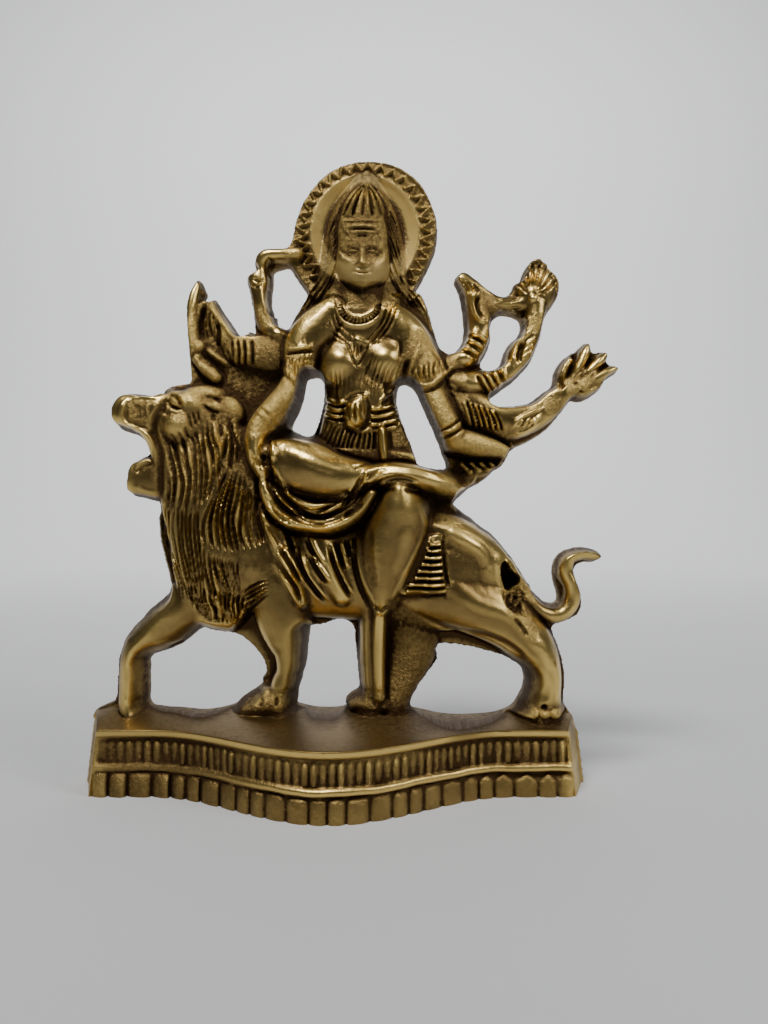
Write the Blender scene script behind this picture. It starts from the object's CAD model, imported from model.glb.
import math
import bmesh
import bpy
import numpy as np
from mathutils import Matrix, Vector


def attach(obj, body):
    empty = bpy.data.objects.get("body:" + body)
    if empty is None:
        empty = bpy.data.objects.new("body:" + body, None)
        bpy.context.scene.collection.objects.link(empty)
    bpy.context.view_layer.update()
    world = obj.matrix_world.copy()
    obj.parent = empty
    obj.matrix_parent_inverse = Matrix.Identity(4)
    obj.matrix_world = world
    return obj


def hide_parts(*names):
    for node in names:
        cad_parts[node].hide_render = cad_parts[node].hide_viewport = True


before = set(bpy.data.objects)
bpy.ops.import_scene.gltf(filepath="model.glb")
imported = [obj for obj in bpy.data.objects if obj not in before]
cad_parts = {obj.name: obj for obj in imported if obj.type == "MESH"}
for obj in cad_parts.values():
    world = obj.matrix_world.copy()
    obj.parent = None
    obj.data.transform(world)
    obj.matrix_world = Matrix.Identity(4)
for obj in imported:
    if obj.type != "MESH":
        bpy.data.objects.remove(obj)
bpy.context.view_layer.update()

# The relief is a surface of depths out from the flat back, in millimetres, over a grid of places
# across and up. Its forms are written where they are seen on a plane some way out from the back,
# as the eye in front of the figure sees them, and are carried from there to their own depth.
MM = 1000  # millimetres in a metre
EYE = (11.9, 65.4)  # the eye's place across and up
REACH = 189.1  # from the back to the eye
BACK = 15.0  # where the flat back lies in the frame
FOOTING = 16.0  # forms seen on no plane are measured up from the ledge
FALL = 3.0  # how steeply a form falls away beside its edge
THINNEST = 0.05  # the least half width


def carried(points, seen, out):
    """Points seen on one plane, carried along the eye's lines to the depths they lie at."""
    points = np.asarray(points, float).copy()
    share = (REACH - np.asarray(out, float)) / (REACH - seen)
    points[:, 0] = EYE[0] + (points[:, 0] - EYE[0]) * share
    points[:, 1] = EYE[1] + (points[:, 1] - EYE[1]) * share
    return points


def smooth_line(stations, step=0.6, closed=False):
    """A smooth line through stations, in short steps, with every column carried along."""
    p = np.asarray(stations, float)
    n = len(p)
    if n == 2 and not closed:
        count = max(2, int(np.hypot(*(p[1, :2] - p[0, :2])) / step) + 1)
        t = np.linspace(0, 1, count)[:, None]
        return p[0] + (p[1] - p[0]) * t
    before = np.roll(p, 1, 0)
    after = np.roll(p, -1, 0)
    if not closed:
        before[0] = 2 * p[0] - p[1]
        after[-1] = 2 * p[-1] - p[-2]
    rows = []
    for i in range(n if closed else n - 1):
        a, b, c, d = before[i], p[i], p[(i + 1) % n], after[(i + 1) % n]
        gaps = [max(np.hypot(*(v[:2] - u[:2])), 1e-6) ** 0.5 for u, v in ((a, b), (b, c), (c, d))]
        lead = (b - a) / gaps[0] - (c - a) / (gaps[0] + gaps[1]) + (c - b) / gaps[1]
        trail = (c - b) / gaps[1] - (d - b) / (gaps[1] + gaps[2]) + (d - c) / gaps[2]
        lead, trail = lead * gaps[1], trail * gaps[1]
        count = max(1, int(np.ceil(np.hypot(*(c[:2] - b[:2])) / step)))
        t = (np.arange(count) / count)[:, None]
        rows.append(b + lead * t + (3 * (c - b) - 2 * lead - trail) * t ** 2
                    + (lead + trail - 2 * (c - b)) * t ** 3)
    if not closed:
        rows.append(p[-1:])
    return np.vstack(rows)


def unit(values):
    """Held between nought and one."""
    return np.clip(values, 0, 1)


def hump(values, half, power=2):
    """A smooth hump, highest where the values are nought."""
    return np.exp(-(values / half) ** power)


def smooth_max(a, b, blend):
    """The larger of two, with a rounded passage from one to the other."""
    return np.maximum(a, b) + np.maximum(blend - np.abs(a - b), 0) ** 2 / (4 * blend)


def smooth_min(a, b, blend):
    """The smaller of two, rounded in the same way."""
    return -smooth_max(-a, -b, blend)


class Relief:
    """Depths out from the back over the grid, with marks for grain, dark patina and clean metal."""

    def __init__(self, across, up):
        self.across = across
        self.up = up
        self.x, self.z = np.meshgrid(across, up)
        self.out = np.zeros_like(self.x)
        self.grain = np.zeros_like(self.x)
        self.dark = np.zeros_like(self.x)
        self.clean = np.zeros_like(self.x)

    def depth_at(self, points):
        """How far out the relief is at some places."""
        p = np.asarray(points, float)
        j = np.clip(np.searchsorted(self.across, p[:, 0]), 1, len(self.across) - 1)
        i = np.clip(np.searchsorted(self.up, p[:, 1]), 1, len(self.up) - 1)
        return (self.out[i, j] + self.out[i - 1, j] + self.out[i, j - 1]
                + self.out[i - 1, j - 1]) / 4

    def settled(self, points, seen):
        """Points seen on one plane, carried along the eye's lines until they meet the relief."""
        out = self.depth_at(carried(points, seen, seen))
        for _ in range(3):
            out = self.depth_at(carried(points, seen, out))
        return carried(points, seen, out)

    def window(self, line, pad):
        """The part of the grid round a line."""
        low, high = line[:, :2].min(0) - pad, line[:, :2].max(0) + pad
        i0, i1 = np.searchsorted(self.up, (low[1], high[1]))
        j0, j1 = np.searchsorted(self.across, (low[0], high[0]))
        return slice(i0, i1), slice(j0, j1)

    def nearest(self, line, pad):
        """For each place near a line: the window, how far it is from the line, how far along, and
        the line's own columns there. The third column is the line's half width."""
        cut = self.window(line, pad)
        x, z = self.x[cut], self.z[cut]
        best = np.full(x.shape, np.inf)
        far = np.zeros_like(x)
        along = np.zeros_like(x)
        extra = [np.zeros_like(x) for _ in range(line.shape[1] - 2)]
        runs = np.hypot(*(line[1:, :2] - line[:-1, :2]).T)
        starts = np.concatenate([[0], np.cumsum(runs)])
        for k in range(len(line) - 1):
            t, px, pz = off_run(x, z, line[k, :2], line[k + 1, :2])
            d = np.hypot(px, pz)
            half = line[k, 2] + (line[k + 1, 2] - line[k, 2]) * t
            rank = d / np.maximum(half, THINNEST)
            hit = rank < best
            best = np.where(hit, rank, best)
            far = np.where(hit, d, far)
            along = np.where(hit, (starts[k] + runs[k] * t) / starts[-1], along)
            for c in range(len(extra)):
                v = line[k, c + 2] + (line[k + 1, c + 2] - line[k, c + 2]) * t
                extra[c] = np.where(hit, v, extra[c])
        return cut, far, along, extra

    def limb(self, stations, seen=None, foot=3.0, power=0.5, blend=0.8, trench=0.0):
        """A rounded form along a smooth line. Each station is its middle across and up, its half
        width and how far out its crown is. A trench is pressed into what lies just beside it."""
        s = np.asarray(stations, float).copy()
        if seen is None:
            s[:, 1] += FOOTING
        else:
            depth = foot + 0.4 * (s[:, 3] - foot)
            s[:, :2] = carried(s[:, :2], seen, depth)
            s[:, 2] *= (REACH - depth) / (REACH - seen)
        line = smooth_line(s)
        cut, far, _, (half, crown) = self.nearest(line, line[:, 2].max() + 3.5)
        half = np.maximum(half, THINNEST)
        u = far / half
        inner = unit(1 - u * u) ** power
        low = np.minimum(foot, crown * 0.7)
        h = low + (crown - low) * inner - FALL * np.maximum(far - half, 0)
        now = self.out[cut]
        if trench:
            edge = hump(far - half - 0.35, 0.45) * (far > half)
            now = now - trench * edge * (crown > now)
        self.out[cut] = smooth_max(now, h, blend)

    def dome(self, centre, radii, crown, seen, foot, turn=0.0, power=0.6, blend=0.6):
        """A rounded boss. It rises from its foot to its crown."""
        c = carried([centre], seen, crown)
        radii = np.asarray(radii, float) * (REACH - crown) / (REACH - seen)
        cut = self.window(c, radii.max() + 2.5)
        x, z = self.x[cut] - c[0, 0], self.z[cut] - c[0, 1]
        cos, sin = np.cos(turn), np.sin(turn)
        a, b = (x * cos + z * sin) / radii[0], (z * cos - x * sin) / radii[1]
        r = np.hypot(a, b)
        h = foot + (crown - foot) * unit(1 - r * r) ** power
        h = h - FALL * np.maximum(r - 1, 0) * radii.min()
        self.out[cut] = smooth_max(self.out[cut], h, blend)

    def plate(self, outline, out, grain=0.0):
        """A flat web with a smooth outline."""
        line = smooth_line(np.asarray(outline, float) + [0, FOOTING], 1.0, closed=True)
        cut = self.window(line, 2.0)
        d = signed(line, self.x[cut], self.z[cut])
        h = np.where(d > 0, out, out + FALL * d)
        self.out[cut] = smooth_max(self.out[cut], h, 0.5)
        if grain:
            self.grain[cut] = np.maximum(self.grain[cut], grain * unit(d / 0.8 + 0.5))

    def crease(self, points, half, height, seen, sharp=1.0, ends=0.18):
        """A raised or sunk line on what is already there. It thins out toward its ends."""
        line = smooth_line(self.settled(points, seen), 0.5)
        line = np.column_stack([line, np.full(len(line), half)])
        cut, far, along, _ = self.nearest(line, half + 0.4)
        taper = unit(np.minimum(along, 1 - along) / ends) ** 0.7 if ends else 1.0
        wide = half * (0.45 + 0.55 * taper)
        u = unit(far / wide)
        self.out[cut] += height * taper * (1 - u ** (1 + sharp)) ** (1.2 if height < 0 else 1.0)

    def creases(self, lines, half, height, seen, **more):
        for points in lines:
            self.crease(points, half, height, seen, **more)

    def mark(self, marks, outline, amount, seen, out, soft):
        """Raises a kind of mark to an amount inside an outline with a soft edge."""
        line = smooth_line(carried(outline, seen, out), 1.0, closed=True)
        cut = self.window(line, soft + 0.5)
        d = signed(line, self.x[cut], self.z[cut])
        marks[cut] = np.maximum(marks[cut], amount * unit(d / soft + 0.5))

    def rough(self, outline, amount, seen, out, soft=1.0):
        """Marks a place where the grain of the sand mould was left unpolished."""
        self.mark(self.grain, outline, amount, seen, out, soft)

    def shade(self, outline, amount, seen, out, soft=1.5):
        """Marks a place where the patina was left darker."""
        self.mark(self.dark, outline, amount, seen, out, soft)


def off_run(x, z, start, end):
    """How far along a straight run each place is, from nought to one, and how far off it, across
    and up."""
    (ax, az), (bx, bz) = start, end
    dx, dz = bx - ax, bz - az
    t = unit(((x - ax) * dx + (z - az) * dz) / (dx * dx + dz * dz + 1e-12))
    return t, x - ax - dx * t, z - az - dz * t


def signed(line, x, z):
    """How far each place is inside a closed line, below nought outside it."""
    best = np.full(x.shape, np.inf)
    inside = np.zeros(x.shape, bool)
    ends = np.roll(line, -1, 0)
    for start, end in zip(line[:, :2], ends[:, :2]):
        _, px, pz = off_run(x, z, start, end)
        best = np.minimum(best, px ** 2 + pz ** 2)
        (ax, az), (bx, bz) = start, end
        if az != bz:
            inside ^= ((az > z) != (bz > z)) & (x < ax + (z - az) * (bx - ax) / (bz - az))
    return np.where(inside, 1, -1) * np.sqrt(best)


# The outline of the metal at its back, in runs that go round the figure from the plinth's left
# end. Each run is seen on a plane of its own.
OUTLINE = [
    (9, [(-55.3, 19.2), (-53, 20.5), (-50.8, 21.6), (-50.3, 23), (-50.1, 25), (-49.9, 28),
         (-49.8, 30.5), (-49.2, 33.3), (-48.2, 36), (-46.6, 38.3), (-44.8, 40.3), (-42.5, 42.8),
         (-40, 45), (-38.3, 46.6), (-37.9, 47.8), (-38.2, 50), (-38.8, 52.5), (-39.6, 55.5),
         (-40.3, 58.5), (-40.7, 61.5), (-40.7, 64)]),
    (7, [(-40.9, 66.4), (-41.1, 67.6), (-42, 68), (-44.5, 68.6), (-46.8, 69.2), (-47.9, 70.2),
         (-48.1, 71.5), (-47.8, 73.5), (-47.5, 75.3), (-46.6, 77), (-45, 78.2), (-43.6, 78.9),
         (-42.9, 79.8), (-43.4, 81), (-44.6, 82.4), (-46.2, 83.5), (-48.2, 84.2), (-50, 84.9),
         (-51, 86.2), (-51.3, 87.8), (-51, 89.8), (-50.3, 91.2), (-49.3, 92.7), (-48.4, 93.2),
         (-46.5, 93.3), (-44, 93), (-41.5, 92.9), (-40.2, 93.2), (-39.3, 94.2), (-38.2, 95),
         (-36.5, 95.4), (-34.6, 95.6)]),
    (4, [(-34.1, 96.6), (-34.3, 98.5), (-34.5, 101.5), (-34.7, 104), (-34.9, 107), (-35.1, 110),
         (-35.2, 113), (-34.9, 116), (-34.2, 118.2), (-33.3, 120.2), (-32.5, 120.9), (-31.7, 120.4),
         (-31.2, 119), (-30.6, 117.8), (-30.6, 117), (-31.1, 116.3), (-30.4, 115.9), (-29.6, 115.6),
         (-29, 116.2), (-28.4, 116.2), (-27.8, 115.3), (-26.8, 113.7), (-25.6, 112), (-24.4, 110.2),
         (-23.4, 108.7), (-22.6, 107.5), (-21.5, 107.4), (-20.8, 107.7), (-20.5, 108.5),
         (-19.6, 108.5), (-19, 108.2), (-19.1, 109.5), (-19.2, 111.5), (-19.5, 113.5), (-19.9, 116),
         (-20.4, 118.5), (-20.9, 120.3), (-20.9, 121.3), (-20, 121.9), (-19, 122.3), (-18.3, 123),
         (-18.8, 123.5), (-19.1, 124.6), (-19, 125.8), (-18.6, 126.7), (-17.8, 127.5), (-16.8, 128),
         (-15, 128.1), (-13, 128.1), (-11.5, 128.3), (-10.8, 129)]),
    (5, [(-10.4, 130.5), (-9.9, 133), (-9.4, 135), (-8.5, 137.7), (-7.1, 140.6), (-5.1, 143.2),
         (-3.5, 145), (-1.5, 146.6), (0.5, 147.8), (2.5, 148.6), (5, 149.2), (7, 149.4), (9, 149.4),
         (11, 149.2), (13, 148.8), (15, 148.2), (17, 147.2), (18.5, 146.1), (20, 144.9),
         (21.2, 143.5), (22.3, 141.8), (23.2, 139.9), (24, 137.8), (24.6, 135.5), (24.8, 133.2),
         (24.7, 131), (24.4, 129), (23.8, 127), (23, 125), (22, 123), (21, 121), (20, 119.3),
         (19.6, 118.2)]),
    (9, [(20.6, 116), (21.7, 113.8), (22.4, 111.6), (23, 109.4), (23.7, 107.2), (24.3, 105.3),
         (25, 103.7), (26, 102.8), (27, 102.4)]),
    (4, [(28.3, 103.4), (29.7, 104.5), (30.7, 106.3), (31, 108.5), (30.9, 111), (30.6, 114),
         (30.1, 116.8), (29.4, 118.9), (28.8, 119.9), (28.7, 120.8), (29.1, 121.7), (29.9, 122.5),
         (31, 122.6), (32.2, 122.2), (33.3, 121.3), (34.7, 120.1), (36.2, 118.8), (37.7, 117.8),
         (39, 117.1), (40.3, 116.9), (41.5, 117.3), (42.4, 118.1), (42.9, 119.5), (43.6, 120.3),
         (44.4, 120.6), (44.9, 121.8), (45.7, 123.6), (46.7, 124.9), (47.6, 125.8), (48.6, 126.1),
         (49.5, 126), (50.1, 125.2), (51, 124.6), (51.4, 123.5), (52.3, 122.8), (53.1, 121.9),
         (53.8, 120.8), (54, 119.5), (53.7, 117.8), (53.2, 116.4), (52.4, 115), (51.3, 113.4),
         (50.5, 112), (50, 110.5), (49.8, 109), (49.3, 107), (48.6, 105), (47.9, 103.2),
         (47, 101.3), (45.8, 99.7), (44.3, 98), (42.3, 96.2), (40.3, 94.8), (38.7, 93.6),
         (37.4, 92.6), (37.3, 91.7), (38.3, 91), (40, 90.8), (42, 90.8), (44, 91), (46, 91.3),
         (47.3, 92), (48.7, 93), (50.3, 94.2), (51.7, 95.1), (52.3, 96.3), (52.5, 97.8),
         (52.9, 99.2), (53.8, 100.8), (55.2, 102.3), (56.5, 103.2), (58, 104), (59.2, 105.2),
         (60.2, 105.9), (61.1, 105.3), (61.5, 104.3), (61.8, 103.6), (63.5, 103.7), (64.8, 103.7),
         (65.4, 102.9), (65.2, 101.6), (65.6, 100.8), (67, 100.3), (67.9, 99.7), (67.7, 98.8),
         (66.3, 97.9), (65, 97), (64.2, 95.9), (63.5, 94.6), (61.8, 93.2), (60, 92.2), (58.3, 91.8),
         (56.8, 92), (55.8, 91.2), (54.6, 89.5), (53, 87.5), (51.2, 85.5), (49, 83.8), (47, 82.6),
         (45, 81.5), (43, 80.6), (42.1, 79.9), (41.6, 79), (40.9, 77.5), (39.9, 76.2)]),
    (7, [(37.7, 75), (36, 73.4), (34, 72), (32, 71), (30.5, 69.7), (29, 68.2), (28.3, 67.3),
         (29.2, 66.4), (30.4, 65.4), (32, 64.3), (33.6, 62.9), (35, 61.8), (36.2, 61.1),
         (37.2, 60.2), (38.7, 58.8), (40, 57.2), (41, 55.9), (41.8, 55), (42.5, 54), (43.3, 52.6),
         (44.5, 50.8), (45.4, 49.3), (46.3, 48.1), (46.8, 47), (47.8, 45.8), (49, 44.7), (50.5, 44),
         (52, 44), (52.7, 44.8), (52.7, 46.2), (52.2, 48), (51.7, 50), (51.6, 51.8), (52, 53.6),
         (53, 55.2), (54.5, 56.3), (56.5, 56.9), (58.5, 57.1), (60.5, 56.8), (62, 56.2),
         (63.1, 55.3), (62.9, 54.5), (61.8, 53.8), (60.5, 53.5), (59, 53.5), (57.4, 53),
         (56.6, 51.8), (56.7, 50.5), (57.3, 49), (58, 47), (58.4, 45), (58.3, 43.3), (57.5, 41.8),
         (56, 40.5), (54, 39.6), (52.2, 39.1), (51.3, 38.3), (51.6, 37), (52.3, 35.3), (53, 33.3),
         (53.7, 30.8), (54.2, 28), (54.3, 25.5), (54.1, 23), (54, 20.9), (54.6, 19.8), (55.3, 18.7),
         (56, 17.2), (56.5, 15.8)]),
]

# The gaps that go right through, each seen on a plane of its own
GAPS = [
    (9, [(-42.6, 31.5), (-41.5, 32.4), (-40, 32.9), (-38, 33.5), (-36, 34.4), (-34, 35.6),
         (-32.3, 37), (-31, 38.1), (-29.8, 38.5), (-28.5, 38.2), (-26.5, 37.7), (-24.5, 37.5),
         (-22.8, 37.3), (-21, 36.5), (-19.5, 35.3), (-18, 33.8), (-16.7, 32.2), (-15.8, 30.6),
         (-15.4, 29), (-15.6, 27.8), (-16.3, 27), (-16.2, 26), (-17, 25), (-18.5, 24),
         (-20.3, 22.8), (-21.5, 21.9), (-22.5, 20.8), (-24, 20.2), (-26, 19.7), (-28.5, 19.3),
         (-30.5, 19.2), (-33, 19.4), (-36, 19.7), (-38.5, 19.8), (-40.5, 20.1), (-41.8, 20.3),
         (-42.5, 21), (-42.9, 22), (-42.8, 24), (-42.8, 27), (-42.8, 29.5)]),
    (9, [(-5.4, 38.1), (-5, 39), (-3.6, 39.2), (-2, 39.5), (-0.5, 40), (1.2, 40.4), (3, 40.3),
         (4.3, 39.6), (5, 38.2), (5.2, 36), (5.5, 33), (5.8, 30), (6, 27), (6.2, 25.2), (5.9, 24.3),
         (5, 23.8), (4, 23.1), (3.2, 22.3), (3, 21.3), (3.2, 20.4), (2, 19.9), (0, 19.7),
         (-2, 19.7), (-4, 19.8), (-6, 20.2), (-7.5, 20.6), (-8.3, 20.9), (-8.2, 22), (-8, 24),
         (-7.4, 26), (-6.9, 28), (-6.3, 30), (-6, 32), (-5.8, 34), (-5.6, 36)]),
    (7, [(24.8, 34.4), (26, 34.6), (28, 34.5), (30, 34.2), (33, 33.6), (35.5, 33), (38, 32.3),
         (40.5, 31.4), (42.3, 30.4), (43.7, 29.3), (44.6, 28), (45, 26.6), (44.8, 25), (44.3, 23.5),
         (43.6, 22), (42.7, 20.5), (41.8, 19.6), (40.5, 18.9), (38.5, 18.2), (36, 17.8), (33, 17.6),
         (30, 17.5), (27, 17.6), (24, 18), (21.5, 18.6), (19.5, 19), (18.3, 19.4), (18.1, 20.3),
         (18.3, 21.5), (19, 23), (20, 24.8), (21.2, 26.5), (22.4, 28.3), (23.4, 29.5), (24.3, 30.8),
         (24.4, 32), (24.1, 33)]),
    (4, [(-14.5, 122.8), (-13, 123.6), (-11.5, 123.9), (-10.6, 123.9), (-9.8, 122.5), (-8.6, 120.8),
         (-7.4, 119), (-6.5, 117.6), (-6.7, 116.7), (-7.5, 115.3), (-8.5, 113.6), (-9.5, 112),
         (-10.2, 110.7), (-10.7, 109.6), (-11.3, 109.1), (-12.3, 109.5), (-13.3, 109.9),
         (-13.6, 111), (-13.8, 112), (-14.3, 112), (-14.6, 113.2), (-15, 114.5), (-15, 117),
         (-14.8, 119), (-14.6, 121)]),
    (4, [(38.8, 112.2), (40, 112.6), (41.5, 112.5), (43, 112), (44.2, 111.2), (44.7, 110),
         (44.4, 108.6), (43.6, 107), (42.6, 106.3), (41.9, 105.6), (41.2, 104.6), (40.6, 103.5),
         (40.2, 102.3), (39.9, 101.1), (39.3, 100.2), (38.3, 99.6), (37, 99.3), (35.8, 99.5),
         (35.1, 100), (35, 101), (35.6, 102), (36.4, 103.4), (37, 105), (37.4, 106.3),
         (37.5, 107.3), (37.3, 108.4), (37.4, 109.6), (37.8, 111.1)]),
    (9, [(-5.9, 96.1), (-5, 96.6), (-3.2, 96.7), (-2.2, 95.5), (-2, 93), (-2.1, 91), (-2.5, 89.5),
         (-2.9, 87.5), (-3.4, 85.8), (-4.1, 84.1), (-4.8, 83.1), (-6, 83), (-7.5, 83.5), (-9, 84.2),
         (-9.6, 84.8), (-9.2, 86), (-8.4, 87.7), (-7.6, 89.5), (-7, 91.2), (-6.6, 93),
         (-6.3, 94.8)]),
    (9, [(15.4, 94.6), (16.6, 95.1), (17.8, 94.8), (19, 93.8), (20, 92), (20.8, 90), (21.8, 87.8),
         (22.9, 85.4), (23.9, 83), (24.8, 80.8), (25.5, 78.6), (26.2, 77), (26.2, 75.6), (25, 75.4),
         (23, 75.6), (21, 76), (19.8, 76.4), (19.3, 77.8), (18.6, 79.8), (17.7, 82), (16.9, 84.2),
         (16, 86.4), (15.3, 88.6), (14.9, 90.6), (14.9, 92.6)]),
]

# How far out from the back the edge of the metal is seen, and the same at the halo
RIM = 0.6
HALO_RIM = 2.6
HALO_SEEN = 5

# The plinth: half its width at the back and at the front, how much its ends lean in for each
# millimetre up, how far out its front is at the ends and how much more at the middle, and half the
# width of that bow. Then the height of the lip's top, and the spacing of the pattern.
PLINTH_BACK = 60.8
PLINTH_FRONT = 56.0
PLINTH_DRAFT = 0.12
SHOULDER = 12.5
BOW = 16.1
BOW_WIDTH = 42.0
LIP = 15.4
PETALS = 26
REED_PITCH = 2.05
TEETH = 33  # round the halo


def metal_inside(x, z):
    """How far each place is inside the metal, seen from the front."""
    line = np.vstack([carried(points, seen, HALO_RIM if seen == HALO_SEEN else RIM)
                      for seen, points in OUTLINE])
    ends = [[60.4, 9], [61.5, -4], [-61.5, -4], [-60.6, 8], [-59.2, 14.2]]
    line = smooth_line(np.vstack([line, ends]), 0.5, closed=True)
    inside = signed(line, x, z)
    for seen, points in GAPS:
        gap = smooth_line(carried(points, seen, RIM), 0.5, closed=True)
        low, high = gap.min(0) - 6, gap.max(0) + 6
        near = (x > low[0]) & (x < high[0]) & (z > low[1]) & (z < high[1])
        inside[near] = np.minimum(inside[near], -signed(gap, x[near], z[near]))
    return inside


def bowed(reach):
    """How far out the plinth's front is, some way from its middle."""
    return SHOULDER + BOW * (0.5 + 0.5 * np.cos(np.pi * unit(reach / BOW_WIDTH)))


def plinth(r):
    """The plinth: petals at its foot, a bead, reeds, a lip, and the ledge the lion stands on. The
    pattern is spaced along the bowed front, and the metal is more worn toward the left."""
    x, z = r.x, r.z
    reach = np.abs(x)
    front = bowed(reach)
    fine = np.linspace(0, 62, 1241)
    run = np.concatenate([[0], np.cumsum(np.hypot(np.diff(fine), np.diff(bowed(fine))))])
    along = np.interp(reach, fine, run) * np.sign(x)
    whole = run[np.searchsorted(fine, PLINTH_FRONT)]

    def roll(low, high, rise):
        u = (z - (low + high) / 2) / ((high - low) / 2)
        return rise * np.sqrt(unit(1 - u * u))

    wander = 0.12 * np.sin(along * 0.37) + 0.04 * np.sin(along * 0.93 + 1)
    petal = along / (2 * whole) * PETALS
    petal = petal + 0.14 * np.sin(along * 0.33)
    beat = petal - np.floor(petal) - 0.5
    worn = 1 + 0.3 * np.sin(np.floor(petal) * 2.4) + 0.2 * np.sin(np.floor(petal) * 5.1 + 1)
    pointed = unit((x - 26) / 16)
    lean = unit((-8 - x) / 30)
    arch = (5.5 - (0.25 + 2.2 * pointed) * np.abs(beat * 2) ** 1.3
            + 0.12 * np.sin(np.floor(petal) * 3.7))
    swell = (0.5 + 0.18 * worn - 0.45 * np.abs(beat * 2) ** 6 - 0.4 * (beat * 2) ** 2
             + 0.9 * lean * beat)
    swell = swell * unit((arch - z) / 0.9) ** 0.6
    petals = -0.66 + swell + 0.1 * (5.2 - z) + 0.28 * np.sin(np.pi * unit(z / 5.2))
    pitch = along / REED_PITCH + 0.15 * np.sin(along * 0.21)
    beat = pitch - np.floor(pitch) - 0.5
    high = 12.9 - 0.9 * np.abs(beat * 2) ** 2 + wander
    sunk = (0.55 + 0.15 * np.sin(np.floor(pitch) * 1.9)) * np.clip((x + 58) / 12, 0.1, 1)
    reeds = -0.95 + sunk * unit(1 - (beat * 2.1) ** 2) ** 0.7 * unit((high - z) / 0.7)
    offset = np.where(z < 5.35, petals, -0.7)
    bead = roll(5.5 + wander, 7.7 + wander, 1.3) * (0.55 + 0.45 * unit((x + 30) / 25))
    offset = np.where((z > 5.35) & (z < 7.9), -0.75 + bead, offset)
    offset = np.where((z >= 7.8) & (z < 13.2), reeds, offset)
    offset = np.where(z >= 13.1, -1.3 + roll(13.2, 16.6, 1.6), offset)
    face = front + offset
    back_edge = np.interp(x, [-60, -57, -53, -46, -30, 0, 15, 25, 35, 45, 55, 60],
                          [16.8, 17.8, 19.2, 18.5, 18.1, 18.2, 17.8, 17.2, 16.9, 17.2, 17.4, 16.4])
    rise = (back_edge - z) / (back_edge - LIP + 0.1)
    ledge = (front + 0.3) * np.sign(rise) * np.abs(rise) ** 0.7
    end = (PLINTH_BACK - PLINTH_DRAFT * z - reach) * 2.6
    body = smooth_min(face, end, 0.5)
    body = np.where(z > LIP - 1.2, smooth_min(body, ledge, 0.5), body)
    return body


def hair_lines(r, lines, seen, half, depth, ridge, gap):
    """Grooves along the lines, each with a rounded strand beside it."""
    for points in lines:
        r.crease(points, half, -depth, seen, sharp=0.8)
        p = np.asarray(points, float)
        run = np.gradient(p, axis=0)
        run /= np.hypot(run[:, 0], run[:, 1])[:, None] + 1e-9
        beside = p + np.column_stack([run[:, 1], -run[:, 0]]) * gap
        r.crease(beside, half * 1.2, ridge, seen, sharp=1.4)


def halo(r):
    """A dish with a round bead and a rim of pressed teeth."""
    deep = 3.4
    centre = carried([[7.3, 131.9]], HALO_SEEN, deep)[0]
    grow = (REACH - deep) / (REACH - HALO_SEEN)
    x, z = r.x - centre[0], r.z - centre[1]
    outer = np.hypot(x / (17.3 * grow), z / (17.5 * grow))
    inner = np.hypot(x / (12.9 * grow), z / (14.2 * grow))
    angle = np.arctan2(z, x)
    band = unit((inner - 1) / np.maximum(inner / np.maximum(outer, 1e-6) - 1, 1e-3))
    beat = angle / (2 * np.pi) * TEETH
    zigzag = np.abs((beat - np.floor(beat)) * 2 - 1)
    pit = hump(band - 0.15 - 0.62 * zigzag, 0.13)
    rim = 3.5 + 0.75 * pit - 0.25 * hump(band - 0.05, 0.08) + 0.35 * unit((band - 0.86) / 0.14)
    dish = 2.2 + 1.5 * unit((inner - 0.62) / 0.38) ** 1.6
    r.clean = unit((inner - 0.72) / 0.08) * unit((1.02 - inner) / 0.05)
    bead = 3.9 - 8 * (inner - 1) ** 2 * 12
    h = np.where(inner < 1, dish, rim)
    h = smooth_max(h, bead - 0.1, 0.25)
    inside = outer < 1.12
    r.out[inside] = h[inside]
    grain = unit(1.3 - np.abs(band - 0.5) * 1.2) * (inner > 1.0)
    near_hair = unit((0.72 - inner) / 0.1)
    r.grain[inside] = np.maximum(grain * 0.55, near_hair * 0.8)[inside]


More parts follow.
